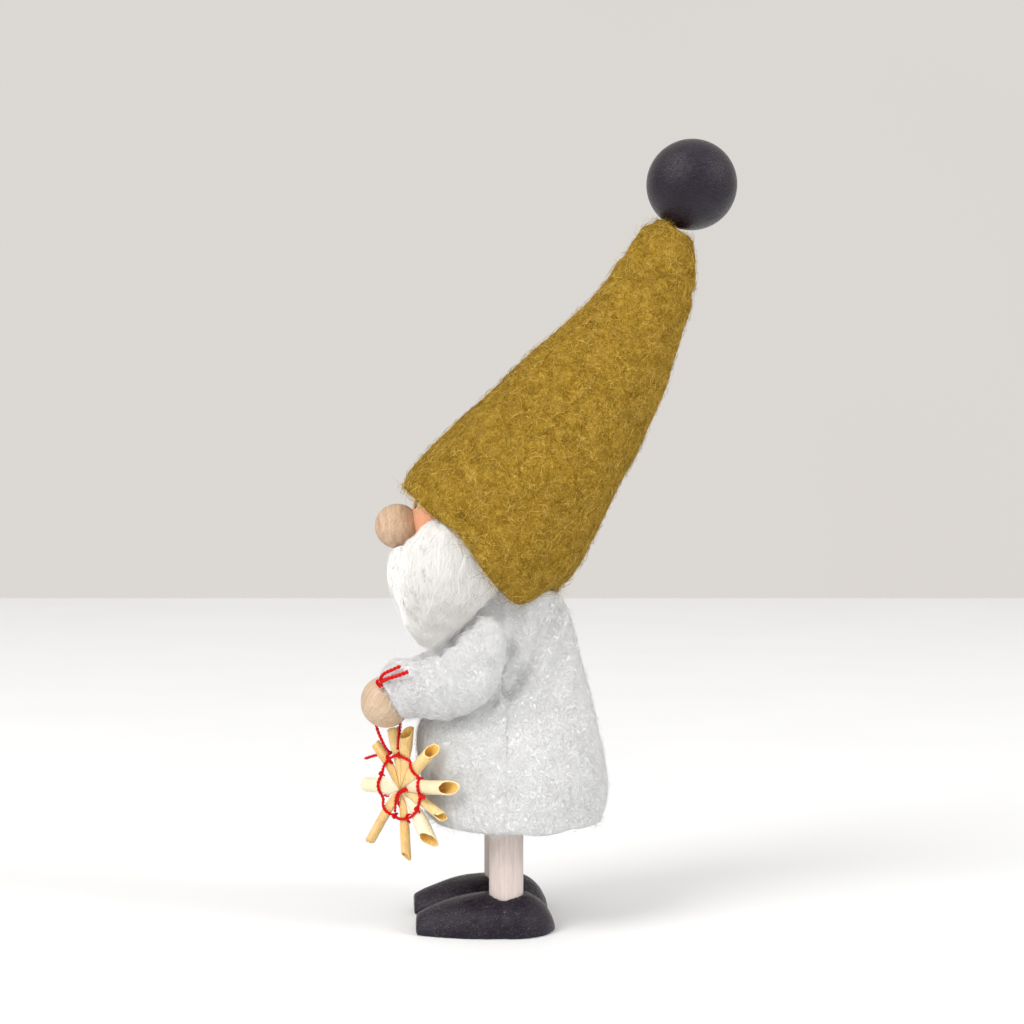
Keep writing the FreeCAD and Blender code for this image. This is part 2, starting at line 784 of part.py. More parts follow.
def make_ring_thread(name):
    """Red thread laid round the star on the face side, dipping between the straws."""
    rays = []
    for pair, layer in zip(STRAWS, STRAW_LAYERS):
        for ray in pair:
            angle, _, width = RAYS[ray]
            rays.append((angle, straw_lift(layer) + width / 2 + S["thread_dia"].value * 1.35))
    rays.sort(key=lambda ray: (ray[0] - KNOT_ANGLE) % 360)
    low = S["thread_dia"].value * 2
    points = [star_point(KNOT_ANGLE + 4.0, RING_RADIUS, low)]
    for index, (angle, crest) in enumerate(rays):
        points.append(star_point(angle, RING_RADIUS + 0.2, crest))
        if index < len(rays) - 1:
            next_angle, next_crest = rays[index + 1]
            between = angle + ((next_angle - angle) % 360) / 2
            points.append(star_point(between, RING_RADIUS, (crest + next_crest) / 2 - THREAD_DIP))
    points.append(star_point(KNOT_ANGLE - 4.0, RING_RADIUS, low))
    curve = Part.BSplineCurve()
    curve.interpolate(Points=points)
    route = doc.addObject("Part::Feature", f"{name}_route")
    route.Shape = Part.Wire([curve.toShape()])
    tangent = curve.tangent(curve.FirstParameter)[0]
    ring = doc.addObject("Part::Circle", f"{name}_round")
    bind(ring, "Radius", S["thread_dia"] / 2)
    place(ring, points[0].x, points[0].y, points[0].z, FreeCAD.Rotation(Z_AXIS, tangent))
    tube = doc.addObject("Part::Sweep", name)
    tube.Sections = [ring]
    tube.Spine = (route, ["Edge1"])
    tube.Solid = True
    tube.Frenet = False
    return tube


def make_binding(name):
    """Short wrap of thread over the middle of the star."""
    start = star_point(230.0, 1.5, 2.1)
    end = star_point(50.0, 1.5, 2.1)
    bar = doc.addObject("Part::Cylinder", name)
    bind(bar, "Radius", S["thread_dia"] * 0.8)
    bar.Height = (end - start).Length
    return place(bar, start.x, start.y, start.z, FreeCAD.Rotation(Z_AXIS, end - start))


def contact_point():
    near = V(S["hand_x"].value, S["hand_y"].value, S["hand_z"].value)
    far = V(S["far_hand_x"].value, S["hand_y"].value, S["far_hand_z"].value)
    return (near + far) * 0.5


def make_hanging_thread(name):
    """Thread from the star up over the place where the hands touch and back down to the star."""
    spot = contact_point()
    loop = 2.45
    points = [
        star_point(283.5, 15.3, -2.3),
        star_point(297.5, 11.3, -2.7),
        star_point(312.0, 8.6, -2.8),
        star_point(326.0, 7.7, 0.5),
        spot + V(0, -loop, -4.0),
        spot + V(0, -loop, loop),
        spot + V(0, loop, loop),
        spot + V(0.6, loop + 0.6, -4.0),
        star_point(355.0, 9.8, 0.2),
        star_point(355.0, 7.5, 0.6),
    ]
    return make_tube(name, points, S["thread_dia"])


def make_knot(name):
    """Knot of the thread on the outer top of the left hand, with its two short ends."""
    hand = V(S["hand_x"].value, S["hand_y"].value, S["hand_z"].value)
    reach = S["hand_dia"].value / 2 + 0.75
    spot = hand + V(0.75, -0.25, 0.72).normalize() * reach
    bead = doc.addObject("Part::Sphere", f"{name}_bead")
    bead.Radius = 0.7
    place(bead, spot.x, spot.y, spot.z)
    pieces = [bead]
    for index, end in enumerate((V(11.4, -30.3, 53.3), V(12.9, -29.2, 52.6))):
        points = [spot, (spot + end) * 0.5 + V(0.4, 0, 0.7), end]
        tail, _ = make_tube(f"{name}_tail_{index}", points, S["thread_dia"])
        pieces.append(tail)
    return fuse(name, pieces)


# ---------------------------------------------------------------------------------------------
# build
# ---------------------------------------------------------------------------------------------
def room(name, diameter, x, y, z, play=0.0):
    ball = doc.addObject("Part::Sphere", name)
    bind(ball, "Radius", diameter / 2 + play)
    return place(ball, x, y, z)


parts = {}
for side_name, side in (("left", 1), ("right", -1)):
    parts[f"shoe_{side_name}"] = make_shoe(f"shoe_{side_name}", side)
    parts[f"leg_{side_name}"] = make_leg(f"leg_{side_name}", side)
parts["torso"] = make_torso("torso")
parts["neck_dowel"] = make_neck("neck_dowel")
parts["head"] = make_head("head")
parts["nose"] = make_nose("nose")
parts["hat_ball"] = make_hat_ball("hat_ball")
parts["hat_peg"] = make_hat_peg("hat_peg")

head_room = room("head_room", S["head_dia"], 0, S["head_y"], S["head_z"])
nose_room = room("nose_room", S["nose_dia"], 0, S["nose_y"], S["nose_z"])
ball_room = room("ball_room", S["hat_ball_dia"], 0, S["hat_ball_y"], S["hat_ball_z"])
peg_room = doc.addObject("Part::Cylinder", "peg_room")
bind(peg_room, "Radius", S["peg_dia"] / 2)
bind(peg_room, "Height", S["peg_length"])
doc.recompute()
peg_room.Placement = parts["hat_peg"].Placement
hat_outside, parts["hat"] = make_hat("hat", head_room, peg_room, ball_room)
parts["coat_front"], parts["coat_back"] = make_coat(hat_outside)
coat_outside = doc.getObject("coat_outside")

hand_rooms = {
    "left": room("left_hand_room", S["hand_dia"], S["hand_x"], S["hand_y"], S["hand_z"]),
    "right": room("right_hand_room", S["hand_dia"], S["far_hand_x"], S["hand_y"], S["far_hand_z"]),
}
wire_room, _ = make_arm_wire("wire_room", S["wire_dia"] + 0.4)
parts["hand_left"] = make_hand("hand_left", S["hand_x"], S["hand_z"])
parts["hand_right"] = make_hand("hand_right", S["far_hand_x"], S["far_hand_z"])
sleeve_left_outside, parts["sleeve_left"] = make_sleeve(
    "sleeve_left", 1, S["hand_x"], 0.0, hand_rooms["left"], wire_room
)
lower = S["hand_z"].value - S["far_hand_z"].value
sleeve_right_outside, parts["sleeve_right"] = make_sleeve(
    "sleeve_right", -1, S["far_hand_x"], lower, hand_rooms["right"], wire_room
)
parts["arm_wire"], wire_volume = make_arm_wire("arm_wire", S["wire_dia"])

# The beard stays clear of the sleeves while the arms are raised by this much, in steps.
ARM_RAISE = 10.0
BEARD_GAP = 0.35
doc.recompute()
raised = []
for label, outside in (("left", sleeve_left_outside), ("right", sleeve_right_outside)):
    for step in (0.0, 0.5, 1.0):
        copy = doc.addObject("Part::Feature", f"{label}_raised_{int(step * 10)}")
        copy.Shape = outside.Shape.copy()
        pivot = V(0, S["shoulder_y"].value, S["shoulder_z"].value)
        raise_turn = FreeCAD.Rotation(X_AXIS, -ARM_RAISE * step)
        copy.Placement = FreeCAD.Placement(V(0, 0, BEARD_GAP), raise_turn, pivot)
        raised.append(copy)
neck_room = doc.addObject("Part::Cylinder", "neck_room")
bind(neck_room, "Radius", S["neck_dia"] / 2)
bind(neck_room, "Height", S["neck_top"] - S["neck_bottom"])
place(neck_room, 0, S["neck_y"], S["neck_bottom"])
parts["beard"] = make_beard("beard", [head_room, hat_outside, nose_room, coat_outside, neck_room] + raised)

for index, (first, second) in enumerate(STRAWS):
    name = f"straw_{index + 1}"
    parts[name] = make_straw(name, first, second, STRAW_LAYERS[index])
parts["ring_thread"] = make_ring_thread("ring_thread")
parts["centre_binding"] = make_binding("centre_binding")
parts["hanging_thread"], thread_volume = make_hanging_thread("hanging_thread")
parts["thread_knot"] = make_knot("thread_knot")
doc.recompute()

for label, item in parts.items():
    item.Label = label
faults = [item.Name for item in doc.Objects if "Invalid" in item.State or "Error" in item.State]
for label, item in parts.items():
    shape = item.Shape
    if shape.isNull() or not shape.isValid() or not shape.Solids:
        faults.append(label)
        continue
    print(f"{label:16s} solids {len(shape.Solids)} volume {shape.Volume:10.2f}", shape.BoundBox)
    shape.exportStep(f"parts/{label}.step")
for label, expected in (("arm_wire", wire_volume), ("hanging_thread", thread_volume)):
    print(label, "volume over section times length", round(parts[label].Shape.Volume / expected, 4))
if faults:
    raise RuntimeError(f"these objects failed: {faults}")
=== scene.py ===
# Tomte gnome figurine: the looks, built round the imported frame.
# Metres. +Z is up, the gnome looks along -Y, and +X is its own left-hand side.
import bmesh
import bpy
import math
import numpy as np
from mathutils import Matrix, Vector, noise
from mathutils.bvhtree import BVHTree


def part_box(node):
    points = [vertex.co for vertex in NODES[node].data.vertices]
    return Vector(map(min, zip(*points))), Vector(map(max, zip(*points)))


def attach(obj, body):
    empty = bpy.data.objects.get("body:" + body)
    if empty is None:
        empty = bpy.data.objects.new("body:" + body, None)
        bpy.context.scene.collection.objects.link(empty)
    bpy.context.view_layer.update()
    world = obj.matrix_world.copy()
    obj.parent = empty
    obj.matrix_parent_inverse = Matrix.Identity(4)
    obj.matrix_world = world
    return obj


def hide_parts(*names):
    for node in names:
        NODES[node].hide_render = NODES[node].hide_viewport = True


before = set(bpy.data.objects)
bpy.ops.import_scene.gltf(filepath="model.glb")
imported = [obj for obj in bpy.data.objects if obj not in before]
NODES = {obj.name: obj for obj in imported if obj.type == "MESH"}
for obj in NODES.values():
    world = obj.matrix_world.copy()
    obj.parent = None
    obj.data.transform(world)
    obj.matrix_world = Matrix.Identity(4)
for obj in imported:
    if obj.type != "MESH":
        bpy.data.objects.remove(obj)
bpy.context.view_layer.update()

MM = 0.001
Z_AXIS = Vector((0, 0, 1))


# ---- driving values ----
HAT_BRIM = np.array([0.0, -13.3, 77.2]) * MM  # centre of the brim
SHOULDER = (14, -13, 58.2)  # inside the left sleeve's shoulder, in millimetres
BEARD_TIP = np.array([0.0, -23.0, 54.0]) * MM
STAR_CENTRE = Vector((5.3, -29.5, 28.4))  # in millimetres
STAR_TURN = 52.0  # degrees that the star's face is turned from the gnome's left-hand side to its front
THREAD = 0.6 * MM
CAMERA_PLACE = (0.42197, -0.03678, 0.105)
CAMERA_LOOKS = (-0.9962, 0.0697, -0.0523)
CAMERA_LENS = 74.04
CAMERA_TURN = math.radians(4.0)  # of the camera, and of the stage with it, from a square side view
FIBRE_SIDES = 3
MOST_TRIANGLES = 200000  # in one piece of fibres
# rays of the star: degrees clockwise from the top, length, diameter, layer, slant of the cut, paleness
RAYS = [
    (342.0, 11.9, 2.5, 0, 6, 0.45),
    (7.4, 12.3, 2.7, 2, 42, 0.42),
    (48.9, 14.2, 2.5, 4, 47, 0.55),
    (83.0, 16.4, 2.8, 3, 53, 0.85),
    (109.6, 13.4, 2.0, 1, 30, 0.55),
    (141.8, 13.7, 3.1, 0, 46, 1.0),
    (175.4, 14.8, 2.0, 2, 44, 0.35),
    (218.5, 15.0, 2.0, 4, -18, 0.40),
    (264.6, 11.5, 2.9, 3, 5, 0.95),
    (310.1, 11.9, 2.0, 1, 20, 0.25),
]
LAYER_REACH = 6.3  # millimetres out from the middle, where each ray has risen to its own layer
AROUND_RAY = 32  # points round a ray
SPLIT_RAY = 4  # number of the ray whose end is split
HITCH_SIZES = {9: 1.3, 0: 0.7, 2: 0.7, 4: 0.7, 5: 1.0, 6: 0.8, 8: 0.6}  # knots of the ring, by gap
HAT_DARK, HAT_MIDDLE, HAT_LIGHT = (0.12, 0.058, 0.002), (0.33, 0.188, 0.014), (0.63, 0.41, 0.075)
HAT_SHADOW, HAT_SHINE = (0.08, 0.042, 0.003), (0.80, 0.58, 0.16)
WHITEWASH = (0.64, 0.59, 0.57)
WOOL_DARK, WOOL_MIDDLE, WOOL_LIGHT = (0.70, 0.70, 0.705), (0.80, 0.80, 0.80), (0.87, 0.87, 0.865)


# ---- small tools ----
def mm(*values):
    return Vector([value * MM for value in values])


def middle(node):
    low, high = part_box(node)
    return (low + high) / 2


def add_object(name, data, material=None):
    item = bpy.data.objects.new(name, data)
    bpy.context.scene.collection.objects.link(item)
    if material is not None:
        data.materials.clear()
        data.materials.append(material)
    return item


def add_piece(name, mesh, paint, body, node=None):
    """A piece that rides on a body; node is the CAD node that it stands for."""
    piece = add_object(name, mesh, paint)
    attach(piece, body)
    if node is not None:
        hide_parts(node)
    return piece


def mesh_from(name, points, faces, smooth=True):
    mesh = bpy.data.meshes.new(name)
    mesh.from_pydata(points, [], faces)
    mesh.polygons.foreach_set("use_smooth", [smooth] * len(mesh.polygons))
    mesh.update()
    return mesh


def evaluated_mesh(piece):
    graph = bpy.context.evaluated_depsgraph_get()
    return bpy.data.meshes.new_from_object(piece.evaluated_get(graph))


def vectors(items, field):
    values = np.zeros(len(items) * 3)
    items.foreach_get(field, values)
    return values.reshape(-1, 3)


def mesh_points(mesh):
    return vectors(mesh.vertices, "co")


def mesh_normals(mesh):
    return vectors(mesh.vertex_normals, "vector")


def set_points(mesh, points):
    mesh.vertices.foreach_set("co", points.ravel())
    mesh.update()


def fine_copy(node, voxel, rounds=3, filler=None):
    """The shape of a CAD node, or of it and what fills its bore, as an evenly meshed, softened skin."""
    data = NODES[node].data.copy()
    if filler is not None:
        both = bmesh.new()
        both.from_mesh(data)
        both.from_mesh(filler)
        both.to_mesh(data)
        both.free()
    piece = add_object("working_copy", data)
    remesh = piece.modifiers.new("Remesh", "REMESH")
    remesh.mode = "VOXEL"
    remesh.voxel_size = voxel
    soften = piece.modifiers.new("Soften", "SMOOTH")
    soften.factor = 0.5
    soften.iterations = rounds
    mesh = evaluated_mesh(piece)
    bpy.data.objects.remove(piece)
    mesh.polygons.foreach_set("use_smooth", [True] * len(mesh.polygons))
    return mesh


def bumps(points, size, seed, stretch=(1, 1, 1)):
    """Smooth noise from -1 to 1 at each point, with features about size metres across."""
    scaled = points / (size * np.array(stretch)) + seed * 17.3
    return np.array([noise.noise(Vector(point)) for point in scaled])


def ramp(values, low, high):
    """0 below low, 1 above high, smooth between."""
    share = np.clip((values - low) / (high - low), 0, 1)
    return share * share * (3 - 2 * share)


# ---- fibres as real geometry ----
def sample_surface(mesh, count, rng, keep=None):
    """Random points on a mesh, with their normals; keep(points, normals) says which may stay."""
    mesh.calc_loop_triangles()
    triangles = np.zeros(len(mesh.loop_triangles) * 3, np.int32)
    mesh.loop_triangles.foreach_get("vertices", triangles)
    corners = mesh_points(mesh)[triangles.reshape(-1, 3)]
    cross = np.cross(corners[:, 1] - corners[:, 0], corners[:, 2] - corners[:, 0])
    area = np.linalg.norm(cross, axis=1)
    picks = rng.choice(len(area), count, p=area / area.sum())
    u, v = rng.random((2, count))
    flip = u + v > 1
    u[flip], v[flip] = 1 - u[flip], 1 - v[flip]
    a, b, c = corners[picks, 0], corners[picks, 1], corners[picks, 2]
    points = a + (b - a) * u[:, None] + (c - a) * v[:, None]
    normals = cross[picks] / area[picks, None]
    if keep is not None:
        chosen = keep(points, normals)
        points, normals = points[chosen], normals[chosen]
    return points, normals


def unit(arrows):
    return arrows / np.maximum(np.linalg.norm(arrows, axis=-1, keepdims=True), 1e-12)


def fibre_mesh(name, lines, thickness, tones):
    """Many thin tapering tubes. lines is (fibres, points, 3), thickness and tones one number each."""
    sides = FIBRE_SIDES
    count, steps, _ = lines.shape
    along = unit(np.gradient(lines, axis=1))
    helper = np.where(np.abs(along[..., 2:3]) < 0.8, np.array([0, 0, 1.0]), np.array([1.0, 0, 0]))
    side = unit(np.cross(along, helper))
    other = np.cross(along, side)
    taper = np.linspace(1.0, 0.35, steps)[None, :, None] * thickness[:, None, None] / 2
    rings = []
    for number in range(sides):
        angle = 2 * math.pi * number / sides
        rings.append(lines + (side * math.cos(angle) + other * math.sin(angle)) * taper)
    points = np.stack(rings, axis=2).reshape(-1, 3)
    base = (np.arange(count) * steps * sides)[:, None, None]
    row = (np.arange(steps - 1) * sides)[None, :, None]
    corner = np.arange(sides)[None, None, :]
    after = (corner + 1) % sides
    first, second = base + row + corner, base + row + after
    faces = np.stack([first, second, second + sides, first + sides], axis=-1).reshape(-1, 4)
    mesh = mesh_from(name, points, faces)
    tone = mesh.attributes.new("tone", "FLOAT", "POINT")
    tone.data.foreach_set("value", np.repeat(tones, steps * sides).astype(np.float32))
    return mesh


def fuzz_lines(points, normals, rng, length, lift, curl, steps):
    """Short curling fibres that start on the surface and lie loosely along it."""
    count = len(points)
    heading = unit(np.cross(normals, rng.normal(size=(count, 3))))
    turn = rng.normal(size=count) * curl
    rise = lift * rng.random(count) ** 3 * 2
    stretch = length * (0.4 + rng.random(count) * 1.2)
    lines = np.zeros((count, steps, 3))
    lines[:, 0] = points - normals * 0.05 * MM
    place = lines[:, 0].copy()
    for step in range(1, steps):
        share = step / (steps - 1)
        swing = np.cross(normals, heading)
        angle = (turn + rng.normal(size=count) * curl * 0.7) / (steps - 1)
        heading = unit(heading * np.cos(angle)[:, None] + swing * np.sin(angle)[:, None])
        place = place + heading * (stretch / (steps - 1))[:, None]
        height = np.sin(share * math.pi * 0.75) * rise
        lines[:, step] = place + normals * (height - share ** 2 * stretch ** 2 / 60 / MM)[:, None]
    return lines


def fibre_pieces(name, lines, tones, width, material, body):
    """Fibres, a share of them in each piece. width is (thinnest, thickest) in millimetres."""
    rng = np.random.default_rng(len(lines))
    thickness = rng.uniform(*width, size=len(lines)) * MM
    each = MOST_TRIANGLES // ((lines.shape[1] - 1) * FIBRE_SIDES * 2)
    pieces = []
    for first in range(0, len(lines), each):
        part = slice(first, first + each)
        label = f"{name}_{first // each + 1}"
        mesh = fibre_mesh(label, lines[part], thickness[part], tones[part])
        pieces.append(add_piece(label, mesh, material, body))
    return pieces


def add_fuzz(name, mesh, count, material, body, seed, length=2.2, lift=0.35, width=(0.04, 0.09),
             keep=None):
    """Loose fibres on a felt piece. Lengths in millimetres."""
    rng = np.random.default_rng(seed)
    points, normals = sample_surface(mesh, count, rng, keep)
    lines = fuzz_lines(points, normals, rng, length * MM, lift * MM, curl=2.2, steps=5)
    return fibre_pieces(name, lines, rng.random(len(lines)), width, material, body)


# ---- materials ----
class Paint:
    """A node material built up step by step. Texture scales are sizes in millimetres."""

    def __init__(self, name, roughness=0.6):
        self.material = bpy.data.materials.new(name)
        self.material.use_nodes = True
        self.tree = self.material.node_tree
        self.shader = self.tree.nodes["Principled BSDF"]
        self.shader.inputs["Roughness"].default_value = roughness
        self.height = None

    def add(self, kind, **settings):
        item = self.tree.nodes.new(kind)
        for key, value in settings.items():
            setattr(item, key, value)
        return item

    def link(self, output, socket):
        self.tree.links.new(output, socket)

    def feed(self, value, socket):
        """Link an output to a socket, or set a number or a colour on it."""
        if hasattr(value, "is_output"):
            self.link(value, socket)
        elif hasattr(value, "__len__"):
            socket.default_value = (*value, 1)
        else:
            socket.default_value = value

    def position(self, stretch=(1, 1, 1), turn=(0, 0, 0), centre=(0, 0, 0)):
        """Object coordinates in millimetres from a centre, turned and then divided by stretch."""
        place = self.add("ShaderNodeTexCoord").outputs["Object"]
        shifted = self.add("ShaderNodeVectorMath", operation="SUBTRACT")
        self.link(place, shifted.inputs[0])
        shifted.inputs[1].default_value = centre
        mapping = self.add("ShaderNodeMapping")
        mapping.vector_type = "POINT"
        self.link(shifted.outputs[0], mapping.inputs["Vector"])
        mapping.inputs["Rotation"].default_value = [math.radians(angle) for angle in turn]
        scaled = self.add("ShaderNodeVectorMath", operation="MULTIPLY")
        self.link(mapping.outputs[0], scaled.inputs[0])
        scaled.inputs[1].default_value = [1 / (MM * size) for size in stretch]
        return scaled.outputs[0]

    def noise(self, size, detail=3.0, rough=0.6, twist=0.0, place=None):
        item = self.add("ShaderNodeTexNoise")
        self.link(place or self.position(), item.inputs["Vector"])
        item.inputs["Scale"].default_value = 1 / size
        item.inputs["Detail"].default_value = detail
        item.inputs["Roughness"].default_value = rough
        item.inputs["Distortion"].default_value = twist
        return item.outputs[0]

    def curve(self, value, stops):
        """Colour ramp. stops are (place, colour or grey)."""
        item = self.add("ShaderNodeValToRGB")
        self.link(value, item.inputs[0])
        ramp_points = item.color_ramp.elements
        while len(ramp_points) < len(stops):
            ramp_points.new(0.5)
        for element, (place, colour) in zip(ramp_points, stops):
            element.position = place
            element.color = (*colour, 1) if hasattr(colour, "__len__") else (colour, colour, colour, 1)
        return item.outputs[0]

    def blend(self, share, first, second, mode="MIX"):
        item = self.add("ShaderNodeMix", data_type="RGBA", blend_type=mode)
        for socket, value in ((0, share), (6, first), (7, second)):
            self.feed(value, item.inputs[socket])
        return item.outputs[2]

    def maths(self, operation, first, second=0.0, clamp=False):
        item = self.add("ShaderNodeMath", operation=operation, use_clamp=clamp)
        for socket, value in zip(item.inputs, (first, second)):
            self.feed(value, socket)
        return item.outputs[0]

    def multiplied(self, first, second):
        return self.blend(1.0, first, second, "MULTIPLY")

    def over(self, share, strength, first, second):
        """The second colour over the first, where share times strength says."""
        return self.blend(self.maths("MULTIPLY", share, strength), first, second)

    def colour(self, value):
        self.link(value, self.shader.inputs["Base Color"])

    def roughness(self, value):
        self.link(value, self.shader.inputs["Roughness"])

    def raise_by(self, value, height):
        """Adds value times height millimetres to the bump."""
        scaled = self.maths("MULTIPLY", value, height)
        self.height = scaled if self.height is None else self.maths("ADD", self.height, scaled)

    def finished(self):
        if self.height is not None:
            bump = self.add("ShaderNodeBump")
            bump.inputs["Distance"].default_value = MM
            self.link(self.height, bump.inputs["Height"])
            self.link(bump.outputs[0], self.shader.inputs["Normal"])
        return self.material

    def set(self, **values):
        for key, value in values.items():
            self.shader.inputs[key.replace("_", " ")].default_value = value


def felt_paint(name, dark, middle_tone, light, fibre=1.0, mottle=1.0):
    """Melange wool felt: curling fibres of a darker and a lighter tone over the middle one."""
    paint = Paint(name, 0.95)
    curls = []
    for size, twist, wide in ((1.5, 0.9, 0.05), (0.9, 1.6, 0.06), (1.1, 1.2, 0.05), (0.7, 1.8, 0.06)):
        tangle = paint.noise(size * fibre, 2.0, 0.55, twist)
        curls.append(paint.curve(tangle, [(0.5 - wide, 0.0), (0.5, 1.0), (0.5 + wide, 0.0)]))
    dark_share = paint.maths("MAXIMUM", curls[0], curls[1])
    light_share = paint.maths("MAXIMUM", curls[2], curls[3])
    clumps = paint.noise(2.2, 5.0, 0.75, 0.4)
    patch = paint.noise(6.0, 3.0, 0.6)
    ground = paint.curve(clumps, [(0.26, dark), (0.5, middle_tone), (0.76, light)])
    mixed = paint.over(dark_share, 0.6 * mottle, ground, dark)
    mixed = paint.over(light_share, 0.6 * mottle, mixed, light)
    shade = paint.curve(patch, [(0.3, 1 - 0.12 * mottle), (0.7, 1 + 0.08 * mottle)])
    paint.colour(paint.multiplied(mixed, shade))
    paint.raise_by(dark_share, 0.08)
    paint.raise_by(light_share, 0.12)
    paint.raise_by(clumps, 0.14 * mottle)
    paint.raise_by(patch, 0.3 * mottle)
    paint.set(Specular_IOR_Level=0.05)
    return paint.finished()


def fibre_paint(name, dark, middle_tone, light):
    """Colour of single wool fibres, from the tone each one carries."""
    paint = Paint(name, 0.8)
    tone = paint.add("ShaderNodeAttribute", attribute_name="tone").outputs["Fac"]
    patch = paint.noise(4.0, 3.0)
    shade = paint.curve(patch, [(0.3, 0.92), (0.7, 1.05)])
    tones = paint.curve(tone, [(0.0, dark), (0.3, middle_tone), (1.0, light)])
    paint.colour(paint.multiplied(tones, shade))
    paint.set(Specular_IOR_Level=0.1)
    return paint.finished()


def subsurface_and_painted_glow(material):
    """Loose white wool passes some light on by subsurface scattering, and a weak emission paints a glow on it
    as well, so its shaded side stays pale.
    """
    sockets = material.node_tree.nodes["Principled BSDF"].inputs
    sockets["Subsurface Weight"].default_value = 0.3
    sockets["Subsurface Radius"].default_value = (1.0, 1.0, 1.0)
    sockets["Subsurface Scale"].default_value = 2 * MM
    # Painted glow: the wool gives off a little white light of its own, though it is no lamp, to lift its
    # shaded side.
    sockets["Emission Color"].default_value = (1.0, 0.98, 0.95, 1)
    sockets["Emission Strength"].default_value = 0.16


def wood_paint(name, light, dark, turn=(0, 0, 0), centre=(0, 0, 0), grain=0.5, wash=0.0):
    """Fine-pored wood with its grain along the turned Z axis; wash is how much white covers it."""
    paint = Paint(name, 0.55)
    ways = [paint.position(stretch, turn, centre) for stretch in ((1, 0.35, 9), (1, 1, 14), (1, 1, 5))]
    rings = paint.noise(2.2, 2.0, 0.5, 0.4, ways[0])
    pores = paint.noise(grain, 5.0, 0.7, 0.2, ways[1])
    flecks = paint.noise(grain * 0.55, 2.0, 0.5, 0.0, ways[2])
    tone = paint.curve(rings, [(0.35, light), (0.65, dark)])
    fine = paint.curve(pores, [(0.35, 0.8), (0.6, 1.05)])
    mixed = paint.multiplied(tone, fine)
    speck = paint.curve(flecks, [(0.66, 0.0), (0.74, 1.0)])
    brown = tuple(value * 0.55 for value in dark)
    mixed = paint.over(speck, 0.55, mixed, brown)
    if wash:
        cover = paint.curve(pores, [(0.3, wash * 0.7), (0.6, wash)])
        mixed = paint.blend(cover, mixed, WHITEWASH)
    paint.colour(mixed)
    paint.raise_by(pores, 0.06)
    paint.raise_by(speck, -0.05)
    return paint.finished()


# ---- wood and paint finishes ----
def black_paint(name, shine, dusty):
    """Satin black paint over turned wood, with fine dust and faint brush marks."""
    paint = Paint(name, 0.36)
    cloud = paint.noise(4.0, 4.0, 0.6)
    grain = paint.noise(0.5, 5.0, 0.7, 0.3, paint.position(stretch=(1, 4, 1)))
    dust = paint.noise(0.22, 2.0, 0.6)
    base = paint.curve(cloud, [(0.3, (0.004, 0.001, 0.006)), (0.75, (0.011, 0.006, 0.016))])
    specks = paint.curve(dust, [(0.64, 0.0), (0.74, 1.0)])
    paint.colour(paint.over(specks, dusty, base, (0.34, 0.32, 0.32)))
    paint.roughness(paint.curve(grain, [(0.3, 0.20), (0.7, 0.34)]))
    paint.raise_by(grain, 0.08)
    paint.raise_by(dust, 0.12)
    paint.raise_by(cloud, 0.2)
    paint.set(Specular_IOR_Level=shine)
    return paint.finished()


def spot_mask(paint, centre, half, edge):
    """1 inside an ellipsoid given in millimetres, 0 outside, with a soft edge."""
    place = paint.position(stretch=half, centre=[value * MM for value in centre])
    length = paint.add("ShaderNodeVectorMath", operation="LENGTH")
    paint.link(place, length.inputs[0])
    return paint.curve(length.outputs["Value"], [(1 - edge, 1.0), (1.0, 0.0)])


def face_paint():
    """Skin-tinted wood with salmon cheeks and two painted eyes."""
    paint = Paint("face_paint", 0.5)
    pores = paint.noise(0.5, 4.0, 0.6, 0.2, paint.position(stretch=(1, 1, 9)))
    cloud = paint.noise(6.0, 2.0)
    skin = paint.curve(cloud, [(0.3, (0.72, 0.37, 0.22)), (0.7, (0.76, 0.43, 0.27))])
    skin = paint.multiplied(skin, paint.curve(pores, [(0.3, 0.93), (0.65, 1.02)]))
    for side in (-1, 1):
        cheek = spot_mask(paint, (side * 9.5, -23.5, 79.0), (8.5, 8.0, 7.5), 0.85)
        skin = paint.over(cheek, 0.75, skin, (0.70, 0.22, 0.10))
    eyes = None
    for side in (-1, 1):
        eye = spot_mask(paint, (side * 3.5, -26.0, 85.1), (1.25, 4.0, 1.45), 0.12)
        eyes = eye if eyes is None else paint.maths("MAXIMUM", eyes, eye)
    paint.colour(paint.blend(eyes, skin, (0.012, 0.010, 0.010)))
    paint.roughness(paint.curve(eyes, [(0.0, 0.5), (1.0, 0.2)]))
    paint.raise_by(eyes, 0.12)
    paint.raise_by(pores, 0.04)
    return paint.finished()


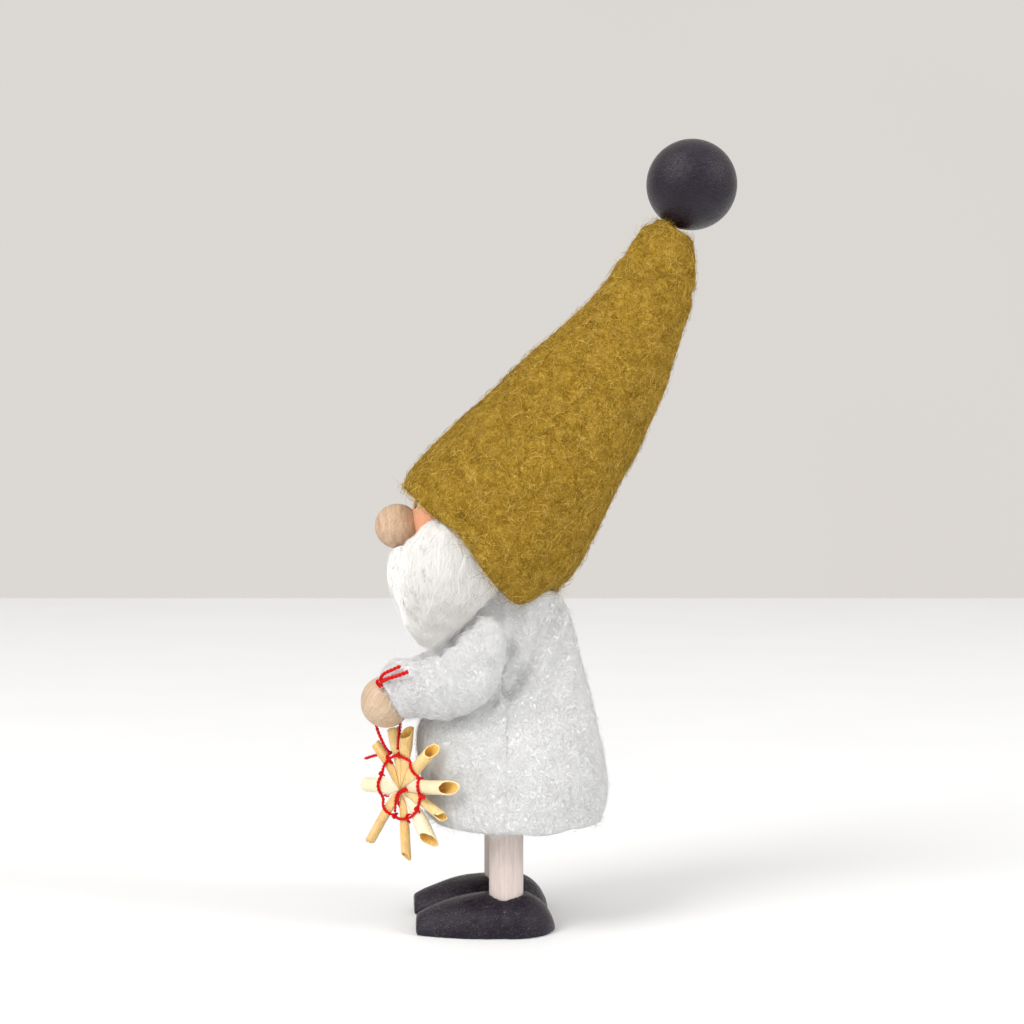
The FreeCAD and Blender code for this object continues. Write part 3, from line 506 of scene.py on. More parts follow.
def straw_paint():
    """Waxy rye straw: each ray its own tone, fine fibres along it, and an amber inside."""
    paint = Paint("straw", 0.38)
    star = middle("centre_binding")
    place = paint.position(centre=star, turn=(0, 0, -STAR_TURN))
    split = paint.add("ShaderNodeSeparateXYZ")
    paint.link(place, split.inputs[0])
    angle = paint.maths("ARCTAN2", split.outputs[2], split.outputs[1])
    radius = paint.add("ShaderNodeVectorMath", operation="LENGTH")
    paint.link(place, radius.inputs[0])
    fan = paint.add("ShaderNodeCombineXYZ")
    paint.link(paint.maths("MULTIPLY", angle, 30.0), fan.inputs[0])
    paint.link(paint.maths("MULTIPLY", radius.outputs["Value"], 0.08), fan.inputs[1])
    paint.link(paint.maths("MULTIPLY", split.outputs[0], 2.0), fan.inputs[2])
    fibres = paint.noise(0.6, 3.0, 0.6, 0.0, fan.outputs[0])
    tone = paint.add("ShaderNodeAttribute", attribute_name="tone").outputs["Fac"]
    inner = paint.add("ShaderNodeAttribute", attribute_name="inner").outputs["Fac"]
    cloud = paint.curve(paint.noise(2.5, 3.0, 0.6, 0.0, place), [(0.3, -0.14), (0.7, 0.14)])
    shade = paint.maths("ADD", tone, cloud, clamp=True)
    base = paint.curve(shade, [(0.0, (0.56, 0.29, 0.07)), (0.35, (0.72, 0.44, 0.14)),
                               (0.65, (0.82, 0.60, 0.27)), (1.0, (0.90, 0.78, 0.54))])
    streak = paint.curve(fibres, [(0.3, 0.70), (0.6, 1.05)])
    mixed = paint.multiplied(base, streak)
    amber = paint.curve(fibres, [(0.3, (0.60, 0.31, 0.05)), (0.65, (0.84, 0.54, 0.15))])
    mixed = paint.blend(inner, mixed, amber)
    spots = paint.curve(paint.noise(0.9, 2.0), [(0.68, 0.0), (0.78, 1.0)])
    mixed = paint.over(spots, 0.35, mixed, (0.36, 0.16, 0.04))
    paint.colour(mixed)
    paint.raise_by(fibres, 0.10)
    paint.set(Coat_Weight=0.2, Coat_Roughness=0.3, Subsurface_Weight=0.1, Subsurface_Scale=0.0005)
    return paint.finished()


def thread_paint():
    """Red cotton: fine yarn fibres that vary in tone, with painted shade darkening the furrows between them.
    """
    paint = Paint("red_thread", 0.85)
    fibres = paint.noise(0.12, 3.0, 0.6, 0.5)
    cloud = paint.noise(1.5, 2.0)
    base = paint.curve(cloud, [(0.3, (0.56, 0.008, 0.008)), (0.7, (0.74, 0.016, 0.014))])
    # Painted shade: the fibre noise darkens the colour exactly where the bump sets the furrows lower.
    paint.colour(paint.multiplied(base, paint.curve(fibres, [(0.3, 0.6), (0.65, 1.1)])))
    paint.raise_by(fibres, 0.06)
    paint.set(Specular_IOR_Level=0.15)
    return paint.finished()


def steel_paint():
    paint = Paint("steel_wire", 0.35)
    lines = paint.noise(0.2, 3.0)
    paint.colour(paint.curve(lines, [(0.3, 0.35), (0.7, 0.55)]))
    paint.raise_by(lines, 0.01)
    paint.set(Metallic=1.0)
    return paint.finished()


# ---- felt pieces ----
def bore_filler(node):
    """What closes a bore in the felt: the peg in the hat, and wool round the wire at each shoulder."""
    if node == "hat":
        return NODES["hat_peg"].data
    if not node.startswith("sleeve"):
        return None
    side = 1 if node.endswith("left") else -1
    ball = bmesh.new()
    place = Matrix.Translation(mm(side * SHOULDER[0], *SHOULDER[1:]))
    bmesh.ops.create_icosphere(ball, subdivisions=4, radius=3.6 * MM, matrix=place)
    mesh = bpy.data.meshes.new("shoulder_wool")
    ball.to_mesh(mesh)
    ball.free()
    return mesh


def shaped_felt(node, voxel, seed, waves, shape):
    """A felt piece: softened skin, slow waves, small lumps, and any shaping of its own."""
    mesh = fine_copy(node, voxel, filler=bore_filler(node))
    points, normals = mesh_points(mesh), mesh_normals(mesh)
    push = 0
    for number, (size, height) in enumerate(((11, waves), (3.2, 0.16), (1.2, 0.07))):
        push = push + bumps(points, size * MM, seed + number) * height * MM
    set_points(mesh, shape(points + normals * push[:, None], normals))
    return mesh


def hat_shape(points, normals):
    """Full below the ball, brim lowest behind the cheeks, back of the brim turned up."""
    ball = np.array(middle("hat_ball"))
    axis = unit(ball - HAT_BRIM)
    height = (points - HAT_BRIM) @ axis
    out = unit(points - HAT_BRIM - height[:, None] * axis)
    backward = np.cross([1.0, 0, 0], axis)
    backward = -backward if backward[1] < 0 else backward
    behind = out @ backward
    sideways, rear = np.abs(out[:, 0]), np.clip(behind, 0, 1)
    # the brim hangs at the sides and sits higher over the eyes and at the back
    hang = 3.4 * sideways ** 2.4 - 2.4 * rear ** 2 * (1 - sideways ** 2)
    brim_bumps = ((-0.32, 0.36, -2.9), (0.38, 0.20, 0.8), (0.66, 0.19, 2.1), (0.90, 0.14, -2.0))
    for place, spread, drop in brim_bumps:
        hang = hang + drop * np.exp(-((behind - place) / spread) ** 2)
    near_brim = 1 - ramp(height, -3 * MM, 24 * MM)
    points = points - axis * (hang * near_brim * MM)[:, None]
    # slow ripples round the brim
    turn = np.arctan2(out[:, 0], behind)
    ripple = np.sin(turn * 5 + 0.6) * 0.35 + np.sin(turn * 9 + 2.0) * 0.2
    points = points + out * (ripple * (1 - ramp(height, -3 * MM, 9 * MM)) * MM)[:, None]
    # full felt below the ball, pinched and wrinkled where it is tied
    reach = np.linalg.norm(ball - HAT_BRIM) - height
    below_ball = ramp(reach, 9.5 * MM, 13 * MM)
    fuller = 1.7 * np.clip(-behind, 0, 1) * (1 - ramp(reach, 14 * MM, 38 * MM))
    fuller = fuller + 0.8 * (1 - ramp(reach, 14 * MM, 32 * MM))
    points = points + out * (fuller * below_ball * MM)[:, None]
    pinch = np.exp(-((reach - 13.0 * MM) / (1.2 * MM)) ** 2)
    uneven = 0.6 + 0.4 * np.sin(turn * 3 + 1.0)
    wrinkle = np.exp(-((reach - 19.0 * MM) / (3.0 * MM)) ** 2) * np.sin(turn * 4 + reach / MM * 0.9) * 0.35
    tucked = 1.1 * rear ** 2 * (1 - ramp(height, -3 * MM, 12 * MM))
    return points + out * ((wrinkle - pinch * uneven * 0.15 - tucked) * MM)[:, None]


def near_line(points, line):
    """Distance in the side view from each point to a line of (y, z) points, and which side it is on."""
    best = np.full(len(points), 1.0)
    side = np.zeros(len(points))
    flat = points[:, 1:]
    for start, end in zip(line[:-1], line[1:]):
        a, b = np.array(start) * MM, np.array(end) * MM
        run = b - a
        share = np.clip((flat - a) @ run / (run @ run), 0, 1)
        away = flat - a - share[:, None] * run
        length = np.linalg.norm(away, axis=1)
        closer = length < best
        best[closer] = length[closer]
        side[closer] = np.sign(away[closer] @ np.array([-run[1], run[0]]))
    return best, side


def crease(points, normals, line, depth, width):
    """Press a groove along a line seen from the side, with a low roll of cloth beside it."""
    distance, side = near_line(points, line)
    groove = np.exp(-(distance / width) ** 2) * depth
    roll = np.exp(-((distance - 2.0 * width) / (1.1 * width)) ** 2) * depth * 0.55 * (side > 0)
    outside = (np.abs(normals[:, 0]) > 0.35)[:, None]
    return points + normals * (roll - groove)[:, None] * outside


def coat_shape(points, normals):
    """Neckline drawn up to the head, creases that run down from it, and a soft uneven hem."""
    across, along = points[:, 0], points[:, 1] + 10 * MM
    length = np.maximum(np.hypot(across, along), 1e-6)
    sideways, forward = np.abs(across) / length, np.clip(-along / length, 0, 1)
    rear = np.clip(along / length, 0, 1)
    top = ramp(points[:, 2], 60 * MM, 64.8 * MM)
    lift = 1.2 + 2.6 * sideways - 0.4 * forward + 0.6 * rear
    points = points.copy()
    points[:, 2] += top * lift * MM
    points[:, 1] -= top * rear * 1.0 * MM
    for line, depth in ((((1.5, 66.5), (-1.2, 60.5), (-4.4, 54.6), (-9.2, 48.5)), 1.25),
                        (((-6.5, 67.5), (-7.6, 61.0), (-8.9, 55.5)), 0.7),
                        (((3.5, 58.0), (0.5, 50.0), (-1.5, 44.0)), 0.45)):
        points = crease(points, normals, line, depth * MM, 1.5 * MM)
    hem = 1 - ramp(points[:, 2], 21 * MM, 27 * MM)
    points[:, 2] += hem * bumps(points, 7 * MM, 77) * 0.5 * MM
    return points


def front_shape(points, normals):
    """The front panel laps a little over the side seams."""
    points = coat_shape(points, normals)
    edge = ramp(points[:, 1], -11.4 * MM, -10.1 * MM)
    points[:, 1] += edge * 0.55 * MM
    return points + normals * (edge * 0.22 * MM)[:, None] * (np.abs(normals[:, 0]) > 0.4)[:, None]


def sleeve_shape(side):
    """Cuff that widens over the hand bead, full elbow. The far sleeve stays slimmer."""
    hand = middle(f"hand_{side}")
    near = side == "left"
    sign = 1 if near else -1
    shoulder = sign * 15.5 * MM
    taller, ahead = (0.30, 0.95) if near else (0.0, -1.2)

    def shape(points, normals):
        forward = -points[:, 1]
        share = np.clip((forward - 13 * MM) / (19.2 * MM), 0, 1)
        centre_x = shoulder * (1 - share) + hand.x * share
        centre_z = 48.6 * MM - (forward - 25.4 * MM) * 0.4655 + (hand.z - 45.5 * MM)
        cuff = ramp(forward, 25 * MM, 30.0 * MM)
        sideways = points[:, 0] - centre_x
        outer = sideways * sign > 0
        points = points.copy()
        points[:, 0] += sideways * cuff * np.where(outer, 0.52, 0.22)
        top = 1 - ramp(forward, 13 * MM, 21 * MM)
        inner = np.clip(-sideways * sign / (4 * MM), 0, 1)
        points[:, 0] -= sign * 5.0 * MM * top * inner
        upward = points[:, 2] - centre_z
        points[:, 2] += upward * cuff * taller
        points[:, 1] -= cuff * (ahead + 0.14 * upward / MM) * MM
        if not near:
            points[:, 2] -= ramp(forward, 17 * MM, 25 * MM) * 1.6 * MM
        elbow = np.exp(-(np.hypot(forward - 14.5 * MM, points[:, 2] - 50.5 * MM) / (5.5 * MM)) ** 2)
        sagging = np.clip(normals @ np.array([0, 0.5, -0.86]), 0, 1) * elbow * 2.4
        fold = np.exp(-((forward - 20.5 * MM) / (3.2 * MM)) ** 2)
        wrinkle = np.sin(points[:, 2] / MM * 0.9 + points[:, 1] / MM * 1.5) * 0.28
        return points + normals * ((fold * wrinkle + sagging) * MM)[:, None]

    return shape


def fray_brim(mesh, material):
    """Stray fibres that stand away from the lower edge of the hat."""
    ball = middle("hat_ball")
    axis = np.array((ball - Vector(HAT_BRIM)).normalized())

    def lower_edge(points, normals):
        return (normals @ axis < -0.35) & (points[:, 1] > -20 * MM)

    add_fuzz("hat_brim_fray", mesh, 14000, material, "figure", 23, length=2.6, lift=0.9,
             width=(0.05, 0.12), keep=lower_edge)


def make_felt(node, body, paints, voxel, seed, fuzz, shape,
              waves=0.35, fuzz_keep=None, fuzz_length=2.2):
    """A felt piece and its loose fibres, shaped from the softened skin of its CAD node."""
    felt_material, fuzz_paint = paints
    name = f"{node}_felt"
    mesh = shaped_felt(node, voxel, seed, waves, shape)
    piece = add_piece(name, mesh, felt_material, body, node)
    hairs = add_fuzz(f"{name}_fuzz", mesh, fuzz, fuzz_paint, body, seed, fuzz_length, keep=fuzz_keep)
    if node == "hat":
        fray_brim(mesh, fuzz_paint)


# ---- beard ----
def combed(points):
    """Direction the wool is combed in at each point: down and in towards the tip."""
    towards = unit(BEARD_TIP - points)
    down = np.array([0.0, -0.15, -1.0])
    return unit(towards * 0.8 + down * 0.6)


def beard_top(points):
    """Height of the beard's upper edge: it runs up from under the nose along the cheek."""
    backward = points[:, 1] / MM
    return np.interp(backward, [-31.9, -27.6, -24.3, -21.0], [75.0, 77.8, 81.4, 88.0]) * MM


def beard_skin():
    """The body of the wool: long locks, narrower at the tip, flat where the cheeks show above it."""
    mesh = fine_copy("beard", 0.5 * MM, 4)
    points, normals = mesh_points(mesh), mesh_normals(mesh)
    locks = bumps(points, 2.8 * MM, 31, (1, 1, 5))
    fine = bumps(points, 1.1 * MM, 32, (1, 1, 6))
    body_waves = bumps(points, 7 * MM, 33)
    push = locks * 0.32 + fine * 0.14 + body_waves * 0.35 - 0.65
    low = 1 - ramp(points[:, 2], 57 * MM, 64 * MM)
    moved = points + normals * (push * MM)[:, None]
    moved[:, 2] -= low * 1.6 * MM
    moved[:, 0] *= 1 - 0.25 * low
    moved[:, 1] += ramp(moved[:, 1], -16 * MM, -10 * MM) * 2.2 * MM
    above = np.clip(moved[:, 2] - beard_top(moved), 0, None)
    moved[:, 2] -= above * 0.9
    set_points(mesh, moved)
    return mesh


def beard_lines(mesh, rng, count=7200, steps=10):
    """Strands that follow the combed direction over the skin; a few stand away from it."""
    corners = [Vector(point) for point in mesh_points(mesh)]
    tree = BVHTree.FromPolygons(corners, [list(face.vertices) for face in mesh.polygons])

    def outside(points, normals):
        return (normals[:, 1] < 0.75) & (points[:, 2] < beard_top(points) + 0.5 * MM)

    starts, start_normals = sample_surface(mesh, 10500, rng, outside)
    starts, surface_normals = starts[:count], start_normals[:count]
    lines = np.zeros((count, steps, 3))
    length = (3 + 8 * rng.random(count) ** 1.5) * MM
    stand = rng.random(count) ** 2.5 * 0.8 * MM
    loose = rng.random(count) < 0.06
    stand[loose] += rng.random(int(loose.sum())) * 1.0 * MM
    loose &= starts[:, 2] < beard_top(starts) - 3 * MM
    place, surface_normals = starts.copy(), surface_normals.copy()
    sway = rng.normal(size=count) * 0.35
    for step in range(steps):
        share = step / (steps - 1)
        height = 0.06 * MM + stand * math.sin(min(1.0, share * 1.4) * math.pi / 2)
        lines[:, step] = place + surface_normals * height[:, None]
        flow = combed(place)
        side = np.cross(surface_normals, flow)
        swirl = bumps(place, 3.2 * MM, 51) * 1.3 + sway + rng.normal(size=count) * 0.16
        flow = unit(flow + side * swirl[:, None])
        flow = unit(flow - surface_normals * np.sum(flow * surface_normals, axis=1)[:, None])
        place = place + flow * (length / (steps - 1))[:, None]
        for number in range(count):
            if loose[number] and share > 0.4:
                continue
            hit, normal, _, _ = tree.find_nearest(Vector(place[number]))
            place[number] = hit
            surface_normals[number] = normal
    ceiling = beard_top(lines.reshape(-1, 3)).reshape(count, steps)
    return lines[(lines[:, :, 2] < ceiling + 0.8 * MM).all(axis=1)]


def make_beard(paint, strand_paint):
    mesh = beard_skin()
    add_piece("beard_wool", mesh, paint, "figure", "beard")
    rng = np.random.default_rng(41)
    lines = beard_lines(mesh, rng)
    tones = rng.random(len(lines))
    fibre_pieces("beard_strands", lines, tones, (0.06, 0.12), strand_paint, "figure")


# ---- threads ----
def frames_along(points):
    """Two unit directions across a line at each of its points, turning as little as possible."""
    along = unit(np.gradient(points, axis=0))
    side = unit(np.cross(along[0], [0.3, 0.5, 0.8]))
    sides = []
    for direction in along:
        side = unit(side - direction * (side @ direction))
        sides.append(side)
    sides = np.array(sides)
    return sides, np.cross(along, sides)


def tube_faces(rows, around):
    """Faces of a tube made of rings of points, closed at both ends."""
    faces = []
    for row in range(rows - 1):
        for column in range(around):
            after = (column + 1) % around
            first = row * around
            faces.append((first + column, first + after, first + around + after, first + around + column))
    faces.append(tuple(range(around))[::-1])
    faces.append(tuple((rows - 1) * around + column for column in range(around)))
    return faces


def tube_arrays(points, radius, around):
    side, other = frames_along(points)
    angles = np.linspace(0, 2 * math.pi, around, endpoint=False)
    rings = [points + (side * math.cos(a) + other * math.sin(a)) * radius for a in angles]
    return np.stack(rings, axis=1).reshape(-1, 3), tube_faces(len(points), around)


def evenly(points, step):
    """The same line with points a fixed step apart."""
    points = np.array(points, float)
    runs = np.concatenate([[0], np.cumsum(np.linalg.norm(np.diff(points, axis=0), axis=1))])
    wanted = np.linspace(0, runs[-1], max(4, int(runs[-1] / step) + 1))
    return np.stack([np.interp(wanted, runs, points[:, axis]) for axis in range(3)], axis=1)


def two_ply(name, line, paint, body, thickness=THREAD, node=None):
    """Thread of two twisted plies along a line; node is the CAD node that it stands for."""
    step = 0.10 * MM
    pitch = 1.5 * MM
    points = evenly(line, step)
    side, other = frames_along(points)
    travelled = np.arange(len(points)) * step
    vertices, faces = [], []
    for start in (0.0, math.pi):
        angle = (travelled / pitch * 2 * math.pi + start)[:, None]
        wobble = 1 + 0.12 * np.sin(travelled / MM * 2.3 + start)[:, None]
        ply = points + (side * np.cos(angle) + other * np.sin(angle)) * thickness * 0.27 * wobble
        ply_vertices, ply_faces = tube_arrays(ply, thickness * 0.31, 8)
        offset = sum(len(part) for part in vertices)
        vertices.append(ply_vertices)
        faces += [tuple(index + offset for index in face) for face in ply_faces]
    mesh = mesh_from(name, np.concatenate(vertices), faces)
    return add_piece(name, mesh, paint, body, node)


def smooth_line(controls):
    """Points along a NURBS spline with these control points."""
    data = bpy.data.curves.new("route", "CURVE")
    data.dimensions = "3D"
    data.resolution_u = 24
    spline = data.splines.new("NURBS")
    spline.points.add(len(controls) - 1)
    for point, control in zip(spline.points, controls):
        point.co = (*control, 1)
    spline.order_u = 3
    spline.use_endpoint_u = True
    holder = add_object("route", data)
    bpy.context.view_layer.update()
    mesh = evaluated_mesh(holder)
    points = mesh_points(mesh)
    bpy.data.objects.remove(holder)
    return points


def star_point(angle, radius, lift=0.0):
    """Point in the star's plane, millimetres: angle clockwise from the top, lift towards its face."""
    turn = math.radians(angle)
    swing = math.radians(STAR_TURN)
    along = Vector((math.sin(swing), math.cos(swing), 0))
    facing = Vector((math.cos(swing), -math.sin(swing), 0))
    spot = STAR_CENTRE + along * (radius * math.sin(turn)) + Z_AXIS * (radius * math.cos(turn))
    return (spot + facing * lift) * MM


def make_hanging_thread(paint):
    """The thread comes up from behind the star, loops over between the hands and goes down to its top ray."""
    spot = (middle("hand_left") + middle("hand_right")) / 2
    loop = 2.45
    behind = ((283.5, 15.3, -2.3), (297.5, 11.3, -2.7), (312.0, 8.6, -2.8), (326.0, 7.7, 0.5))
    over = ((0, -loop, -4.0), (0, -loop, loop), (0, loop, loop), (0.6, loop + 0.6, -4.0))
    controls = [star_point(*place) for place in behind] + [spot + mm(*shift) for shift in over]
    controls += [star_point(355.0, radius, lift) for radius, lift in ((9.8, 0.2), (7.5, 0.6))]
    line = smooth_line(controls)
    piece = two_ply("hanging_thread_twist", line, paint, "star", node="hanging_thread")


def half_gap(number):
    """Half the angle between a ray and the next one."""
    return (RAYS[(number + 1) % len(RAYS)][0] - RAYS[number][0]) % 360 / 2


def between_rays(number):
    """Angle halfway between a ray and the next one."""
    return RAYS[number][0] + half_gap(number)


def ray_profile(number, reach):
    """Half widths to both sides, half thickness and lift of a ray at a distance from the middle."""
    _, _, width, layer, _, _ = RAYS[number]
    gaps = (half_gap(number - 1), half_gap(number))
    opening = float(ramp(np.array([reach]), 5.6, 8.4)[0])
    halves = []
    for gap in gaps:
        flat = min(width * 0.58, reach * math.tan(math.radians(gap)) - 0.07)
        halves.append(max(0.05, flat) * (1 - opening) + width / 2 * opening)
    thick = 0.45 * (1 - opening) + width / 2 * opening
    own = (layer - 2) * 0.27
    share = min(1.0, reach / LAYER_REACH)
    lift = 0.25 * (1 - share) + own * share
    return halves, thick, lift


def ray_ring(number, reach, shrink=0.0, end=False):
    """Points round a ray. At its end the ring follows the slanted, slightly ragged cut."""
    angle, length, width, _, slant, _ = RAYS[number]
    halves, thick, lift = ray_profile(number, reach)
    sag = Vector((0, 0, -0.7 * MM)) * max(0.0, 1 - reach / LAYER_REACH) ** 1.5
    ring = []
    for step in range(AROUND_RAY):
        phase = 2 * math.pi * step / AROUND_RAY
        across, up = math.sin(phase), math.cos(phase)
        half = halves[1] if across > 0 else halves[0]
        height = up * (thick - shrink)
        reach_here = reach
        if end:
            ragged = 0.10 * math.sin(phase * 3 + number) + 0.06 * math.sin(phase * 7 + 2 * number)
            split = 1.5 * max(0.0, math.sin(phase * 2 + 0.6)) ** 2 if number == SPLIT_RAY else 0.0
            reach_here = length - (height + width / 2) * math.tan(math.radians(slant)) + ragged - split
        sideways = across * (half - shrink)
        point = star_point(angle, reach_here, lift + height) + sag
        side = star_point((angle + 90) % 360, sideways) - star_point(0, 0)
        ring.append(point + side)
    return ring


def ray_arrays(number):
    """One ray of the star: outside, cut end, and the hollow inside."""
    angle, length = RAYS[number][:2]
    wall = 0.26
    outer_end = ray_ring(number, length, end=True)
    inner_end = ray_ring(number, length, wall, end=True)
    rings = [ray_ring(number, reach) for reach in np.linspace(0.35, 8.8, 16)]
    last = rings[-1]
    for share in (0.3, 0.6, 0.85, 1.0):
        rings.append([a.lerp(b, share) for a, b in zip(last, outer_end)])
    rim = [a.lerp(b, 0.5) for a, b in zip(outer_end, inner_end)]
    rings.append([point + (star_point(angle, 0.12) - star_point(angle, 0.0)) for point in rim])
    outside_count = len(rings)
    deep = ray_ring(number, 8.9, wall)
    for share in (0.0, 0.3, 0.65, 1.0):
        rings.append([a.lerp(b, share) for a, b in zip(inner_end, deep)])
    points = [tuple(point) for ring in rings for point in ring]
    inner = [0.0] * (outside_count * AROUND_RAY) + [1.0] * ((len(rings) - outside_count) * AROUND_RAY)
    return points, tube_faces(len(rings), AROUND_RAY), inner


def make_straws(paint):
    """Five straws, each a pair of opposite rays pressed into wedges inside the ring of thread."""
    for straw in range(5):
        points, faces, inner, tones = [], [], [], []
        for number in (straw, straw + 5):
            ray_points, ray_faces, ray_inner = ray_arrays(number)
            faces += [tuple(index + len(points) for index in face) for face in ray_faces]
            points += ray_points
            inner += ray_inner
            tones += [RAYS[number][5]] * len(ray_points)
        mesh = mesh_from(f"straw_{straw + 1}_rays", points, faces)
        for label, values in (("inner", inner), ("tone", tones)):
            mesh.attributes.new(label, "FLOAT", "POINT").data.foreach_set("value", values)
        add_piece(f"straw_{straw + 1}_rays", mesh, paint, "star", f"straw_{straw + 1}")


def star_line(*spots):
    """Smooth line through the star's plane; spots are (angle, radius, lift)."""
    return smooth_line([star_point(*spot) for spot in spots])


def make_ring_thread(paint):
    """Thread pulled straight over each ray and hitched in each gap."""
    ring = 6.35
    spots = [(between_rays(9), ring, 0.6)]
    for number in range(len(RAYS)):
        angle = RAYS[number][0]
        _, thick, lift = ray_profile(number, ring)
        over = lift + thick + 0.36
        spots += [(angle - 8, ring, over), (angle + 8, ring, over), (between_rays(number), ring, 0.25)]
    two_ply("ring_thread_twist", star_line(*spots), paint, "star", 0.58 * MM, "ring_thread")
    for number, size in HITCH_SIZES.items():
        gap = between_rays(number)
        hitch = star_line((gap - 3, ring - 0.7 * size, 0.0), (gap + 2, ring - 0.5 * size, 0.9),
                          (gap - 2, ring + 0.4 * size, 1.1), (gap + 3, ring + 0.8 * size, 0.0))
        two_ply(f"ring_hitch_{number + 1}", hitch, paint, "star", (0.3 + 0.25 * size) * MM)
    stub = star_line((97, 6.2, 0.6), (96, 7.4, 1.5), (95, 8.8, 1.5))
    two_ply("ring_stub", stub, paint, "star", 0.75 * MM)


def make_binding(paint):
    """Thread that pins the crossing: over the middle and away down to the ring."""
    for number, shift in enumerate((0.0, 0.42)):
        side = star_point(130, shift) - star_point(0, 0.6)
        spots = ((72, 2.4, 0.2), (74, 1.9, 1.25), (110, 0.5, 1.45), (200, 1.3, 1.35),
                 (196, 3.2, 1.1 - 0.7 * number), (198, 4.8 - 1.2 * number, 0.8 - 0.9 * number))
        line = smooth_line([star_point(*spot) + side for spot in spots])
        stands_for = "centre_binding" if number == 0 else None
        two_ply(f"centre_binding_{number + 1}", line, paint, "star", 0.52 * MM, stands_for)
    speck = star_line((246, 5.8, 0.3), (240, 4.8, 0.9), (236, 4.1, 0.7))
    two_ply("centre_binding_end", speck, paint, "star", 0.4 * MM)


def make_knot(paint):
    """Overhand knot on the left hand with two short ends."""
    hand = middle("hand_left")
    spot = hand + Vector((0.80, -0.22, 0.82)).normalized() * 6.3 * MM
    knot = []
    for angle in np.linspace(0, 2 * math.pi, 90):
        x = math.sin(angle) + 2 * math.sin(2 * angle)
        y = math.cos(angle) - 2 * math.cos(2 * angle)
        z = -math.sin(3 * angle)
        knot.append(spot + mm(z * 0.22 + 0.1, x * 0.24, y * 0.22))
    two_ply("thread_knot_turns", knot, paint, "arms", node="thread_knot")
    tails = (((14.0, -33.8, 52.0), (15.0, -32.2, 52.8), (15.0, -30.0, 53.8)),
             ((14.6, -33.2, 51.2), (16.0, -31.2, 51.8), (16.2, -28.6, 52.8)))
    for number, tail in enumerate(tails):
        line = smooth_line([spot, *[mm(*point) for point in tail]])
        two_ply(f"thread_tail_{number + 1}", line, paint, "arms", (0.66 + 0.06 * number) * MM)


# ---- stage ----
def table_paint():
    paint = Paint("table_white", 0.6)
    cloud = paint.noise(60.0, 3.0)
    paint.colour(paint.curve(cloud, [(0.3, (0.80, 0.808, 0.82)), (0.7, (0.82, 0.828, 0.84))]))
    return paint.finished()


def wall_paint():
    paint = Paint("wall_grey", 1.0)
    cloud = paint.noise(900.0, 2.0)
    paint.shader.inputs["Base Color"].default_value = (0, 0, 0, 1)
    paint.link(paint.curve(cloud, [(0.3, (0.725, 0.700, 0.665)), (0.7, (0.705, 0.672, 0.640))]),
               paint.shader.inputs["Emission Color"])
    paint.set(Emission_Strength=1.0, Specular_IOR_Level=0.0)
    return paint.finished()


def make_stage():
    """White table top with its far edge behind the gnome, a pale warm-grey wall, and light all round."""
    edge, wall_x, half = -0.70, -1.6, 3.0
    top = [(edge, -half, 0), (half, -half, 0), (half, half, 0), (edge, half, 0)]
    upright = [(wall_x, -half, -half), (wall_x, half, -half), (wall_x, half, half), (wall_x, -half, half)]
    table = add_object("table_top", mesh_from("table_top", top, [(0, 1, 2, 3)], smooth=False), table_paint())
    wall = add_object("wall", mesh_from("wall", upright, [(0, 1, 2, 3)], smooth=False), wall_paint())
    for piece in (table, wall):
        piece.rotation_euler = (0, 0, -CAMERA_TURN)
    world = bpy.data.worlds.new("studio")
    bpy.context.scene.world = world
    world.use_nodes = True
    background = world.node_tree.nodes["Background"]
    background.inputs["Color"].default_value = (1.0, 0.985, 0.965, 1)
    background.inputs["Strength"].default_value = 0.63


def add_light(name, place, target, size, power, colour=(1, 1, 1), shiny=True):
    data = bpy.data.lights.new(name, "AREA")
    data.shape = "DISK"
    data.size = size
    data.energy = power
    data.color = colour
    light = add_object(name, data)
    light.location = place
    light.rotation_euler = (Vector(target) - Vector(place)).to_track_quat("-Z", "Y").to_euler()
    light.visible_glossy = shiny


def make_camera():
    data = bpy.data.cameras.new("camera")
    data.lens = CAMERA_LENS
    data.sensor_width = 36.0
    data.clip_start, data.clip_end = 0.01, 50
    camera = add_object("camera", data)
    camera.location = CAMERA_PLACE
    camera.rotation_mode = "QUATERNION"
    camera.rotation_quaternion = Vector(CAMERA_LOOKS).to_track_quat("-Z", "Y")
    bpy.context.scene.camera = camera


# ---- build ----
def coat_outside(points, normals):
    """Fibres only on the outer face, hem and edges, not deep inside the coat."""
    outward = points[:, :2] - np.array([0, -8.0]) * MM
    return np.sum(normals[:, :2] * outward, axis=1) > -0.3 * np.linalg.norm(outward, axis=1)


def finish_cad_nodes(nodes, material):
    """A CAD piece whose shape is right keeps it and gets a better material."""
    for node in nodes:
        mesh = NODES[node].data
        mesh.materials.clear()
        mesh.materials.append(material)
        mesh.polygons.foreach_set("material_index", [0] * len(mesh.polygons))


def make_shoes(paint):
    """Turned shoes with their edges eased and slow hand-cut unevenness."""
    for side in ("left", "right"):
        mesh = fine_copy(f"shoe_{side}", 0.32 * MM, 14)
        points, normals = mesh_points(mesh), mesh_normals(mesh)
        push = bumps(points, 4 * MM, 61) * 0.12 + bumps(points, 1.3 * MM, 62, (1, 3, 1)) * 0.04
        above = ramp(points[:, 2], 0.1 * MM, 0.8 * MM)
        set_points(mesh, points + normals * (push * above * MM)[:, None])
        add_piece(f"shoe_{side}_turned", mesh, paint, "figure", f"shoe_{side}")


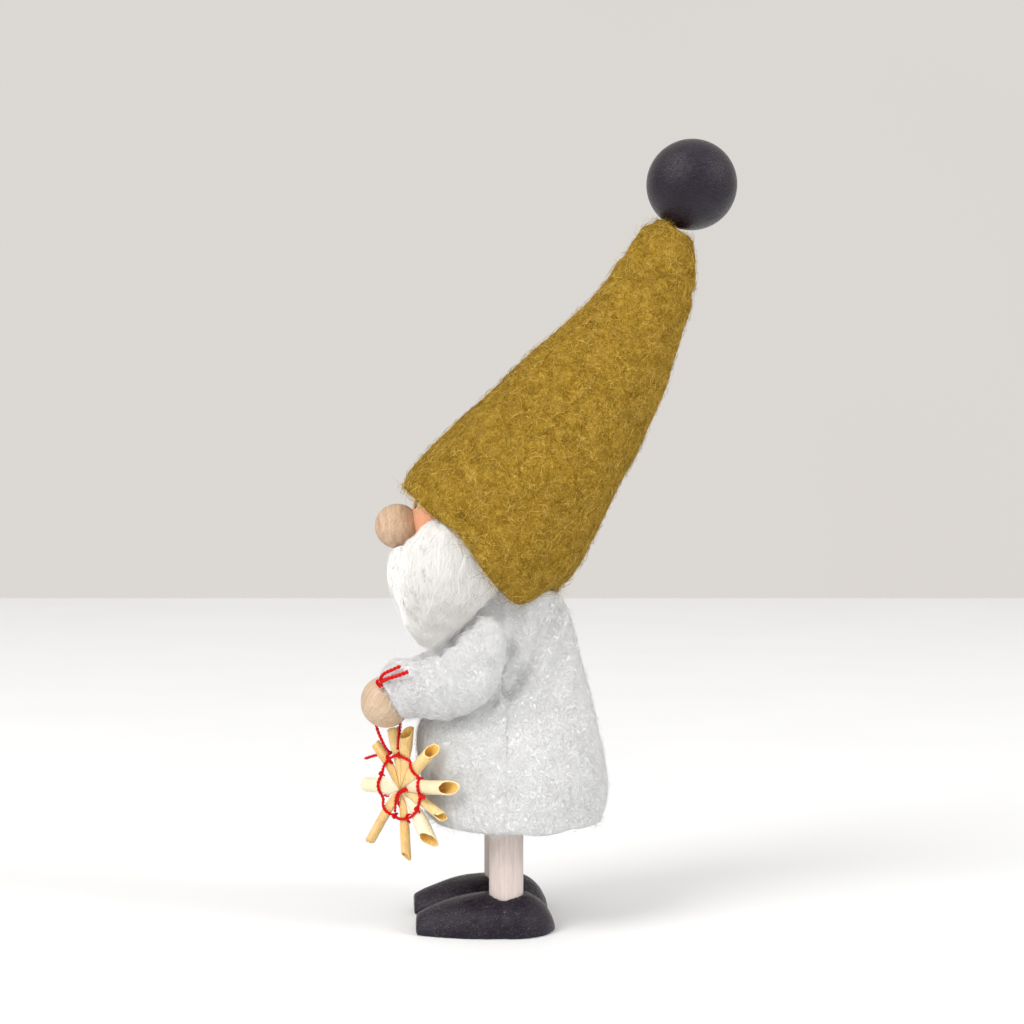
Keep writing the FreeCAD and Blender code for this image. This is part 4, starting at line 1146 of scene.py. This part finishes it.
finish_cad_nodes(("hat_ball",), black_paint("black_ball", 0.34, 0.12))
make_shoes(black_paint("black_shoes", 0.29, 0.7))
finish_cad_nodes(("leg_left", "leg_right"),
                 wood_paint("whitewashed_wood", (0.50, 0.34, 0.27), (0.40, 0.26, 0.2), grain=0.4, wash=0.72))
finish_cad_nodes(("torso", "neck_dowel", "hat_peg"),
                 wood_paint("plain_wood", (0.66, 0.46, 0.28), (0.5, 0.32, 0.18)))
finish_cad_nodes(("nose",),
                 wood_paint("nose_wood", (0.55, 0.38, 0.255), (0.43, 0.275, 0.17), turn=(0, 62, 0),
                            centre=middle("nose"), grain=0.35))
finish_cad_nodes(("hand_left", "hand_right"),
                 wood_paint("hand_wood", (0.57, 0.43, 0.30), (0.50, 0.355, 0.235), turn=(35, 0, 0),
                            centre=middle("hand_left"), grain=0.35))
finish_cad_nodes(("head",), face_paint())
make_straws(straw_paint())
finish_cad_nodes(("arm_wire",), steel_paint())

hat_paints = (felt_paint("mustard_felt", HAT_DARK, HAT_MIDDLE, HAT_LIGHT),
              fibre_paint("mustard_fibre", HAT_SHADOW, HAT_MIDDLE, HAT_SHINE))
wool_paints = (felt_paint("white_felt", WOOL_DARK, WOOL_MIDDLE, WOOL_LIGHT, mottle=0.45),
               fibre_paint("white_fibre", WOOL_DARK, WOOL_MIDDLE, WOOL_MIDDLE))
beard_base = felt_paint("beard_base", (0.81, 0.795, 0.76), (0.85, 0.835, 0.81), (0.87, 0.86, 0.84), 0.6, 0.2)
beard_fibre = fibre_paint("beard_fibre", (0.81, 0.795, 0.77), (0.86, 0.845, 0.82), (0.88, 0.87, 0.85))
# both beard materials get subsurface scattering and a painted emission glow
for wool in (beard_base, beard_fibre):
    subsurface_and_painted_glow(wool)

make_felt("hat", "figure", hat_paints, 0.5 * MM, 3, 24000, hat_shape,
          fuzz_length=2.8)
for node, seed, shape, flat, area in (("coat_front", 5, front_shape, (0.060, 0.047), 0.0021),
                                      ("coat_back", 7, coat_shape, (0.070, 0.047), 0.0027)):
    make_felt(node, "figure", wool_paints, 0.5 * MM, seed, 10000, shape,
              fuzz_keep=coat_outside)
for seed, side in ((9, "left"), (11, "right")):
    make_felt(f"sleeve_{side}", "arms", wool_paints, 0.42 * MM, seed, 4000, sleeve_shape(side),
              waves=0.3)
make_beard(beard_base, beard_fibre)

red = thread_paint()
make_hanging_thread(red)
make_ring_thread(red)
make_binding(red)
make_knot(red)

make_stage()
make_camera()
add_light("key", (0.55, -0.75, 0.95), (0, 0, 0.06), 0.7, 11.5, (1.0, 0.99, 0.97))
add_light("top", (0.0, 0.1, 1.3), (0, 0, 0), 1.2, 1.5)
add_light("fill", (2.2, 0.1, 0.45), (0, 0, 0.08), 1.6, 20.0, shiny=False)
add_light("back", (0.45, 1.0, 0.75), (0, 0, 0.08), 0.5, 6.0)
bpy.context.scene.view_settings.view_transform = "Standard"
